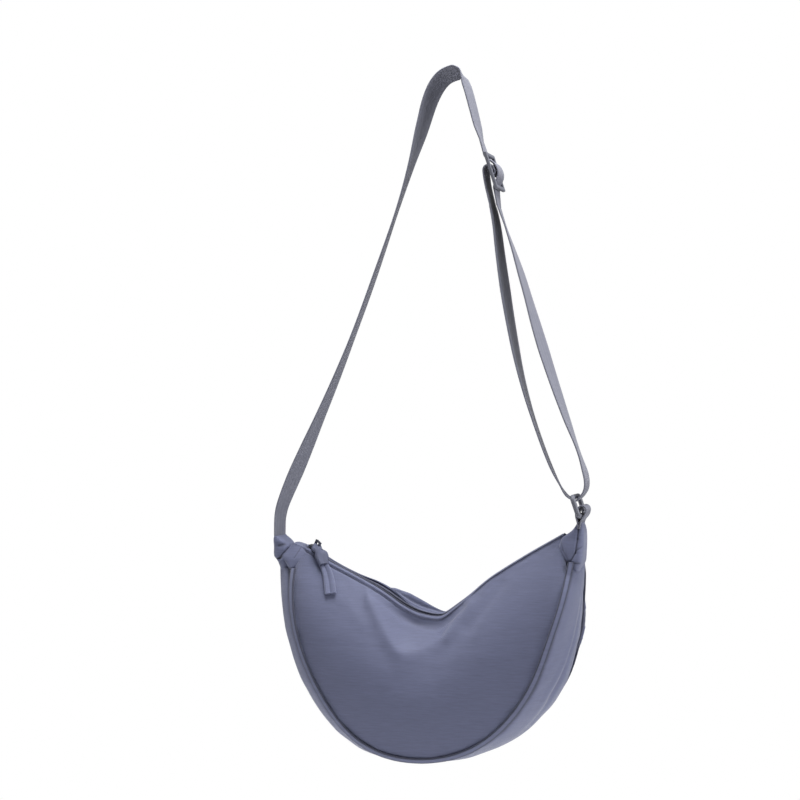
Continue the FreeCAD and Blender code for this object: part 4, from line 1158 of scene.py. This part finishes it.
def gusset_grid(rows, columns):
    """Points of the gusset, with their turn round the seam and their share of the depth from -1 to 1."""
    turn = math.pi * np.linspace(0, 1, rows)[:, None] + np.zeros((1, columns))
    share = np.linspace(-1, 1, columns)[None, :] + 0 * turn
    reach = np.cos(turn)
    swell = GUSSET_SWELL + GUSSET_SWELL_LEFT * reach + GUSSET_SWELL_TIPS * reach ** 2
    swell += GUSSET_SHOULDERS * (1 - GUSSET_SHOULDERS_LEAN * reach) * np.sin(2 * turn) ** 2
    swell += bulges(turn, GUSSET_BULGES)
    points = seam_point(turn, share, 0.0) + seam_outward(turn) * (swell * (1 - share ** 2))[..., None]
    end = share[-1:]
    out = GUSSET_TAIL_OUT * TAIL_STEPS + TAIL_DRAW * TAIL_STEPS * end ** 2
    tail = np.stack([out, -TAIL_DRAW * TAIL_STEPS * end, TAIL_RISE * TAIL_STEPS + 0 * end], axis=-1)
    points = np.concatenate([points, points[-1:] + tail])
    turn, share = (
        np.concatenate([grid, np.repeat(grid[-1:], len(TAIL_STEPS), axis=0)]) for grid in (turn, share))
    return points, turn, share


def dressed_gusset(rows, columns):
    """The gusset with its seam pull and crinkles, the side its faces turn to and the painted shade of its
    creases.
    """
    points, turn, share = gusset_grid(rows, columns)
    normal = grid_normals(points)
    centre = (rows // 2, columns // 2)
    sign = np.sign(np.sum(normal[centre] * seam_outward(turn)[centre]))
    edge = np.clip(1 - np.abs(share), 0, 1) * seam_half(turn)
    lift = roll(edge, *GUSSET_PULL)
    lift += GUSSET_WAVE_HEIGHT * ripple(points, GUSSET_WAVE_SCALE, 21) * (1 - share ** 4)
    lift += ripple(points, GUSSET_PUCKER_SCALE, 23) * roll(edge, *GUSSET_PUCKER)
    # Painted shade beside the binding
    crease = roll(edge, *GUSSET_SHADE)
    beside_fold = share - between_keys(np.degrees(turn), SIDE_FOLD)
    seen = hump(np.degrees(turn), *SIDE_FOLD_SEEN)
    lift += seen * (roll(beside_fold, *SIDE_FOLD_RIDGE) + roll(beside_fold, *SIDE_FOLD_GROOVE))
    # Painted shade in the groove of the side fold
    crease += seen * roll(beside_fold, *SIDE_FOLD_SHADE)
    return points + normal * sign * lift[..., None], sign, crease


def binding_rings(side):
    """Flat tube of the folded binding along one seam, with painted shade lines along its stitched edges."""
    turn = math.pi * np.linspace(0, 1, BINDING_ROWS)
    inset = BINDING_INSET_LOW * np.sin(turn) ** BINDING_LOW_REACH
    path = seam_point(turn, side + 0 * turn, BINDING_ROOM) - seam_outward(turn) * inset[:, None]
    tail_end = np.array([[BINDING_TAIL_OUT - BINDING_TAIL_SPLAY * side, -side * TAIL_DRAW, TAIL_RISE]])
    tail = TAIL_STEPS * tail_end
    path = with_close_ends(np.concatenate([path, path[-1] + tail]))
    turn = with_close_ends(np.concatenate([turn, np.full(len(tail), math.pi)]))
    outward = seam_outward(turn)
    depth = np.array([[0.0, side * 1.0, 0.0]])
    lean = np.radians(BINDING_LEAN + BINDING_LEAN_LOW * np.sin(turn) ** BINDING_LOW_REACH)[:, None]
    proud = outward * np.sin(lean) + depth * np.cos(lean)
    wide = outward * np.cos(lean) - depth * np.sin(lean)
    swing = 1 + BINDING_WAVE * ripple(path, BINDING_WAVE_SCALE, 31 + side)
    angle = np.linspace(0, 2 * math.pi, BINDING_SIDES, endpoint=False)
    through, across = (
        np.sign(wave) * np.abs(wave) ** BINDING_SQUARENESS for wave in (np.sin(angle), np.cos(angle)))
    off_seam = proud[:, None, :] * (BINDING_PROUD + BINDING_HALF_THICK * through)[None, :, None]
    beside_seam = wide[:, None, :] * (BINDING_HALF_WIDTH * across)[None, :, None] * swing[:, None, None]
    rings = path[:, None, :] + off_seam + beside_seam
    uv = np.zeros(rings.shape[:2] + (2,))
    uv[..., 0] = lengths_along(path)[:, None] * MM
    uv[..., 1] = np.linspace(0, BINDING_GIRTH * MM, BINDING_SIDES)[None, :]
    # Painted shade lines along both stitched edges
    crease = hump(across, *BINDING_OUTER_SHADE) + hump(-across, *BINDING_INNER_SHADE)
    return rings, uv, np.zeros(rings.shape[:2]) + crease


# Webbing

def twist_by_height(path, keys):
    """Turn at each point of a path from keys by height, lowest or highest first."""
    return between_keys(path[:, 2], sorted(keys))


def twist_by_share(path, keys):
    """Turn at each point of a path from keys by share along it."""
    return between_keys(np.linspace(0, 1, len(path)), keys)


def across_turned(path, degrees):
    """Direction across the webbing: along the bag's depth, turned about the strap's own line."""
    tangent = path_directions(path)
    beside = np.stack([tangent[:, 2], 0 * tangent[:, 0], -tangent[:, 0]], axis=1)
    turn = np.radians(degrees)[:, None]
    return np.cos(turn) * np.array([[0.0, 1.0, 0.0]]) + np.sin(turn) * beside


def cut_at_height(path, height):
    """The place in a path where it passes a height."""
    return int(np.argmin(np.abs(path[:, 2] - height)))


# User settings

def length_setting(name, description, default):
    return bpy.props.FloatProperty(name=name, description=description, default=default, unit="LENGTH")


def colour_setting(name, description, default):
    return bpy.props.FloatVectorProperty(
        name=name, description=description, default=default, size=3, subtype="COLOR")


class BagSizes(bpy.types.PropertyGroup):
    """Sizes of the bag's cloth, webbing and sewing, in metres."""

    strap_width: length_setting("Strap width", "Width of the webbing", 0.025)
    strap_thick: length_setting("Strap thickness", "Thickness of the webbing", 0.0014)
    cloth_thick: length_setting("Cloth thickness", "Shell cloth with its backing", 0.0012)
    lining_thick: length_setting("Lining thickness", "Inner skin", 0.0005)
    stitch_pitch: length_setting("Stitch pitch", "From one stitch to the next", 0.0028)
    stitch_thick: length_setting("Thread thickness", "Sewing thread", 0.00045)
    tooth_pitch: length_setting("Tooth pitch", "From one turn of the zip coil to the next", 0.0014)
    puller_width: length_setting("Puller width", "Width of the folded cloth puller", 0.0105)


class BagTones(bpy.types.PropertyGroup):
    """Colours of the bag's materials, in linear light."""

    shell: colour_setting("Shell", "Slate nylon", (0.136, 0.150, 0.248))
    lining: colour_setting("Lining", "Inner skin", (0.120, 0.128, 0.185))
    webbing: colour_setting("Webbing", "Strap and ring loop", (0.178, 0.184, 0.238))
    zip_tape: colour_setting("Zip tape", "Woven tape of the zip", (0.125, 0.134, 0.205))
    zip_coil: colour_setting("Zip coil", "Moulded coil of the zip", (0.110, 0.117, 0.165))
    hardware: colour_setting("Fittings", "Ring and adjuster", (0.150, 0.156, 0.192))
    slider_metal: colour_setting("Slider", "Dark metal of the slider", (0.105, 0.110, 0.145))
    pull_paint: colour_setting("Pull", "Painted pull tab", (0.090, 0.099, 0.162))
    thread: colour_setting("Thread", "Sewing thread", (0.170, 0.180, 0.255))


# Operators

class BagShell(bpy.types.Operator):
    """Build the two half moon panels and the gusset, with their folds and thickness"""

    bl_idname = "bag.shell"
    bl_label = "Panels and gusset"

    def execute(self, context):
        finish = finish_for(context, "shell")
        thick = context.scene.bag_sizes.cloth_thick / MM
        cuts = ((FRONT, "front_panel", (0.26, 0.17), 0.0345), (REAR, "rear_panel", (0.265, 0.185), 0.0376))
        for side, node, flat, area in cuts:
            points, _, crease = dressed_panel(side, *PANEL_ROWS)
            piece = sheet_piece(node + "_cloth", points, finish, side == FRONT, thick, crease)
            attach(piece, "bag")
            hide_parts(node)
        points, sign, crease = dressed_gusset(*GUSSET_ROWS)
        piece = sheet_piece("gusset_cloth", points, finish, sign < 0, thick, crease)
        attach(piece, "bag")
        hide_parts("gusset")
        return {"FINISHED"}


class BagLining(bpy.types.Operator):
    """Build the thin inner skin behind the panels and the gusset"""

    bl_idname = "bag.lining"
    bl_label = "Lining"

    def execute(self, context):
        finish = finish_for(context, "lining")
        thick = context.scene.bag_sizes.lining_thick / MM
        rows, columns = LINING_TRIM
        for side, node in ((FRONT, "front_lining"), (REAR, "rear_lining")):
            points, outward, _ = dressed_panel(side, *LINING_ROWS)
            points = (points - outward * LINING_INSIDE)[rows:-rows, columns:-columns]
            piece = sheet_piece(node + "_cloth", points, finish, side == FRONT, thick)
            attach(piece, "bag")
            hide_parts(node)
        rows, columns = GUSSET_LINING_TRIM
        points, sign, _ = dressed_gusset(*GUSSET_LINING_ROWS)
        points = (points - grid_normals(points) * sign * LINING_INSIDE)[rows:-rows, columns:-columns]
        piece = sheet_piece("gusset_lining_cloth", points, finish, sign < 0, thick)
        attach(piece, "bag")
        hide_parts("gusset_lining")
        return {"FINISHED"}


class BagBinding(bpy.types.Operator):
    """Build the folded bindings that stand up along the two seams"""

    bl_idname = "bag.binding"
    bl_label = "Bindings"

    def execute(self, context):
        for side, node in ((FRONT, "front_piping"), (REAR, "rear_piping")):
            rings, uv, crease = binding_rings(side)
            piece = tube_piece(node + "_cloth", rings, finish_for(context, "shell"), uv)
            mark_crease_shade(piece, crease)
            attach(piece, "bag")
            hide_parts(node)
        return {"FINISHED"}


class BagZip(bpy.types.Operator):
    """Build the zip's tapes and the turns of its coil along the sagging mouth"""

    bl_idname = "bag.zip"
    bl_label = "Zip"

    def execute(self, context):
        tape = finish_for(context, "zip_tape")
        coil = finish_for(context, "zip_coil")
        pitch = context.scene.bag_sizes.tooth_pitch / MM
        for side, tail in ((FRONT, "front"), (REAR, "rear")):
            x = np.linspace(ZIP_LEFT[0] + TAPE_INSET, ZIP_RIGHT[0] - TAPE_INSET, ZIP_POINTS)
            path = across_zip(x, side * TAPE_REACH, TAPE_HEIGHT)
            across = across_zip(x, side * (TAPE_REACH + 1), TAPE_HEIGHT) - path
            piece = ribbon_piece("zip_tape_" + tail + "_cloth", path, across, TAPE_WIDTH, TAPE_THICK, tape)
            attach(piece, "bag")
            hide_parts("zip_tape_" + tail)
            shift = 0.0 if side == FRONT else pitch / 2
            x = np.linspace(ZIP_LEFT[0] + COIL_INSET + shift, ZIP_RIGHT[0] - COIL_INSET, ZIP_POINTS)
            rows = [across_zip(x, side * COIL_REACH, height) for height in COIL_HEIGHTS]
            piece = grains_along("zip_coil_" + tail + "_turns", rows, pitch, COIL_TURN, coil)
            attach(piece, "bag")
            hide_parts("zip_coil_" + tail)
        return {"FINISHED"}


class BagTips(bpy.types.Operator):
    """Build the folded patches at the two tips, the strap's sleeve and the ring's loop"""

    bl_idname = "bag.tips"
    bl_label = "Tips"

    def execute(self, context):
        shell = finish_for(context, "shell")
        for node, kind, levels, folds, fall in (
                ("strap_anchor", "sleeve", SLEEVE_LEVELS, SLEEVE_FOLDS, 0.0),
                ("left_end_tab", "patch", LEFT_PATCH_LEVELS, LEFT_PATCH_FOLDS, LEFT_PATCH_FALL),
                ("right_end_tab", "patch", RIGHT_PATCH_LEVELS, RIGHT_PATCH_FOLDS, 0.0)):
            piece = stuffed_tip(node + "_" + kind, levels, folds, fall, shell)
            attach(piece, "bag")
            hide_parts(node)
        path = smooth_path(flat_route([(RING_HINGE[0] + x, RING_HINGE[1] + z) for x, z in RING_LOOP_ROUTE]))
        piece = ribbon_piece("ring_loop_cloth", path, (0.0, 1.0, 0.0), RING_LOOP_WIDTH, RING_LOOP_THICK,
                             finish_for(context, "webbing"))
        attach(piece, "bag")
        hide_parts("ring_loop")
        return {"FINISHED"}


class BagPull(bpy.types.Operator):
    """Build the pull tab and the folded cloth puller that hangs from it"""

    bl_idname = "bag.pull"
    bl_label = "Puller"

    def execute(self, context):
        finder = surface_of(bpy.data.objects["front_panel_cloth"])
        width = context.scene.bag_sizes.puller_width / MM
        path = smooth_path([front_place(finder, *place) for place in PULLER_ROUTE])
        piece = ribbon_piece("zip_puller_cloth", path, PULLER_ACROSS, width, PULLER_THICK,
                             finish_for(context, "shell"), PULLER_GROOVE, PULLER_TAPER)
        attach(piece, "puller")
        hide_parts("zip_puller")
        path = smooth_path(PULL_TAB_ROOT + [front_place(finder, *place) for place in PULL_TAB_ROUTE])
        piece = ribbon_piece("pull_tab_block", path, PULL_TAB_ACROSS, PULL_TAB_WIDTH, PULL_TAB_THICK,
                             finish_for(context, "pull_paint"), PULL_TAB_GROOVE, PULL_TAB_TAPER)
        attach(piece, "pull")
        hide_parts("pull_tab")
        return {"FINISHED"}


class BagStrap(bpy.types.Operator):
    """Build the webbing strap in the stretches that move apart"""

    bl_idname = "bag.strap"
    bl_label = "Strap"

    def stretch(self, context, name, path, degrees, node, held):
        """One stretch of webbing that stands for one node"""
        sizes = context.scene.bag_sizes
        piece = ribbon_piece(name, path, across_turned(path, degrees), sizes.strap_width / MM,
                             sizes.strap_thick / MM, finish_for(context, "webbing"))
        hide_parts(node)
        return piece

    def execute(self, context):
        carry = smooth_path(CARRY_ROUTE)
        crest = int(np.argmax(carry[:, 2]))
        rising = twist_by_height(carry[:crest], CARRY_TWIST)
        falling = twist_by_height(carry[crest:], FALL_TWIST + [CREST_TWIST])
        turn = eased(np.concatenate([rising, falling]), CARRY_TWIST_ROUNDS)
        piece = self.stretch(context, "strap_carry", carry, turn, "strap_carry_run", "hung")
        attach(piece, "bag")

        upper = smooth_path(UPPER_ROUTE)
        turn = twist_by_height(upper, FALL_TWIST)
        piece = self.stretch(context, "strap_upper", upper, turn, "strap_upper_run", "hung")
        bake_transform(piece)

        weave = smooth_path(WEAVE_ROUTE)
        turn = twist_by_share(weave, WEAVE_TWIST)
        piece = self.stretch(context, "strap_hump", weave, turn, "strap_weave", "stretched")
        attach(piece, "adjuster")

        loop = smooth_path(END_LOOP_ROUTE)
        turn = twist_by_share(loop, END_LOOP_TWIST)
        piece = self.stretch(context, "strap_sewn_loop", loop, turn, "strap_end_loop", "folded")
        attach(piece, "adjuster")

        legs = smooth_path(FRONT_ROUTE + RING_TURN + RETURN_ROUTE)
        low = int(np.argmin(legs[:, 2]))
        falling = twist_by_height(legs[:low], FRONT_TWIST)
        rising = -twist_by_height(legs[low:], RETURN_TWIST)
        turn = eased(np.concatenate([falling, rising]), LEG_TWIST_ROUNDS)
        first = cut_at_height(legs[:low], LEG_CUT)
        last = low + cut_at_height(legs[low:], LEG_CUT)
        front = slice(None, first + 1)
        piece = self.stretch(context, "strap_front", legs[front], turn[front], "strap_front_run", "hung")
        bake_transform(piece)
        back = slice(last, None)
        piece = self.stretch(context, "strap_return", legs[back], turn[back], "strap_return_run", "hung")
        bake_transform(piece)
        round_ring = slice(first, last + 1)
        piece = self.stretch(context, "strap_turn", legs[round_ring], turn[round_ring], "strap_bight", "hung")
        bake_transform(piece)
        return {"FINISHED"}


class BagFittings(bpy.types.Operator):
    """Finish the ring, the adjuster and the slider"""

    bl_idname = "bag.fittings"
    bl_label = "Fittings"

    def execute(self, context):
        for node, slot in (("ring", "hardware"), ("triglide", "hardware"), ("zip_slider", "slider_metal"),
                           ("zip_crown", "slider_metal")):
            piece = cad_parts[node]
            piece.data.materials.clear()
            piece.data.materials.append(finish_for(context, slot))
        return {"FINISHED"}


class BagStitching(bpy.types.Operator):
    """Sew the topstitching along both lips of the zip"""

    bl_idname = "bag.stitching"
    bl_label = "Stitching"

    def execute(self, context):
        sizes = context.scene.bag_sizes
        thick = sizes.stitch_thick / MM
        lines = []
        for side in (FRONT, REAR):
            points, outward, _ = dressed_panel(side, *PANEL_ROWS)
            from_zip, _ = edge_distances(points)
            column = np.argmin(np.abs(from_zip - LIP_GROOVE), axis=1)
            line = (points + outward * STITCH_PROUD)[np.arange(len(points)), column]
            lines.append(eased(line[STITCH_TRIM:-STITCH_TRIM].T, STITCH_ROUNDS).T)
        piece = grains_along("topstitch_zip", lines, sizes.stitch_pitch / MM, (STITCH_LENGTH, thick, thick),
                             finish_for(context, "thread"))
        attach(piece, "bag")
        return {"FINISHED"}


class BagStage(bpy.types.Operator):
    """Set the floor, the white surround, the soft lamps and the camera"""

    bl_idname = "bag.stage"
    bl_label = "Stage"

    def lamp(self, name, place, size, power):
        data = bpy.data.lights.new(name, "AREA")
        data.shape = "DISK"
        data.size = size
        data.energy = power
        lamp = put_in_scene(name, data)
        lamp.location = place
        lamp.rotation_euler = (Vector(LAMP_AIM) - Vector(place)).to_track_quat("-Z", "Y").to_euler()

    def floor(self):
        angle = np.linspace(0, 2 * math.pi, FLOOR_SIDES, endpoint=False)
        rim = np.stack(
            [FLOOR_RADIUS * np.cos(angle), FLOOR_RADIUS * np.sin(angle), FLOOR_HEIGHT + 0 * angle], axis=1)
        points = np.vstack([[[0, 0, FLOOR_HEIGHT]], rim])
        faces = [[0, 1 + k, 1 + (k + 1) % FLOOR_SIDES] for k in range(FLOOR_SIDES)]
        material, tree, shader, place = new_material("stage_floor")
        grain = noise_node(tree, place["Object"], 40.0)
        tree.links.new(two_tone(tree, grain, (0.88, 0.88, 0.88), 0.01), shader.inputs["Base Color"])
        shader.inputs["Roughness"].default_value = 0.8
        make_piece("floor", points, faces, material)

    def surround(self, scene):
        """A white that the camera sees, and a softer light that falls on the bag"""
        world = bpy.data.worlds.new("soft white surround")
        world.use_nodes = True
        scene.world = world
        tree = world.node_tree
        soft = tree.nodes["Background"]
        bright = tree.nodes.new("ShaderNodeBackground")
        for node, strength in ((soft, SURROUND_LIGHT), (bright, 1.0)):
            node.inputs["Color"].default_value = (1, 1, 1, 1)
            node.inputs["Strength"].default_value = strength
        ray = tree.nodes.new("ShaderNodeLightPath").outputs
        mix = tree.nodes.new("ShaderNodeMixShader")
        seen = math_node(tree, "MAXIMUM", ray["Is Camera Ray"], ray["Is Transmission Ray"])
        for slot, value in enumerate((seen, soft.outputs[0], bright.outputs[0])):
            tree.links.new(value, mix.inputs[slot])
        tree.links.new(mix.outputs[0], tree.nodes["World Output"].inputs["Surface"])

    def camera(self, scene):
        data = bpy.data.cameras.new("front camera")
        data.lens = CAMERA_LENS
        data.sensor_width = CAMERA_SENSOR
        right = Vector((math.cos(CAMERA_TURN), math.sin(CAMERA_TURN), 0))
        towards = Vector((math.sin(CAMERA_TURN), -math.cos(CAMERA_TURN), 0))
        camera = put_in_scene("front camera", data)
        camera.location = right * CAMERA_SHIFT + Vector((0, 0, CAMERA_HEIGHT)) + towards * CAMERA_DISTANCE
        camera.rotation_euler = (math.pi / 2, 0, CAMERA_TURN)
        scene.camera = camera

    def execute(self, context):
        scene = context.scene
        scene.view_settings.view_transform = "Standard"
        self.surround(scene)
        self.floor()
        for name, place, size, power in LAMPS:
            self.lamp(name, place, size, power)
        self.camera(scene)
        return {"FINISHED"}


STEPS = [
    BagShell, BagLining, BagBinding, BagZip, BagTips, BagPull, BagStrap, BagFittings, BagStitching, BagStage]


class BagPanel(bpy.types.Panel):
    """Sidebar list of the bag's settings and building steps"""

    bl_idname = "VIEW3D_PT_half_moon_bag"
    bl_label = "Half moon bag"
    bl_space_type = "VIEW_3D"
    bl_region_type = "UI"
    bl_category = "Bag"

    def draw(self, context):
        for group in (context.scene.bag_sizes, context.scene.bag_tones):
            for name in group.__annotations__:
                self.layout.prop(group, name)
        for step in STEPS:
            self.layout.operator(step.bl_idname)


CLASSES = [BagSizes, BagTones] + STEPS + [BagPanel]


def register():
    for item in CLASSES:
        bpy.utils.register_class(item)
    bpy.types.Scene.bag_sizes = bpy.props.PointerProperty(type=BagSizes)
    bpy.types.Scene.bag_tones = bpy.props.PointerProperty(type=BagTones)


def unregister():
    del bpy.types.Scene.bag_tones
    del bpy.types.Scene.bag_sizes
    for item in reversed(CLASSES):
        bpy.utils.unregister_class(item)


def main():
    register()
    for step in STEPS:
        getattr(bpy.ops.bag, step.bl_idname.removeprefix("bag."))()


if __name__ == "__main__":
    main()
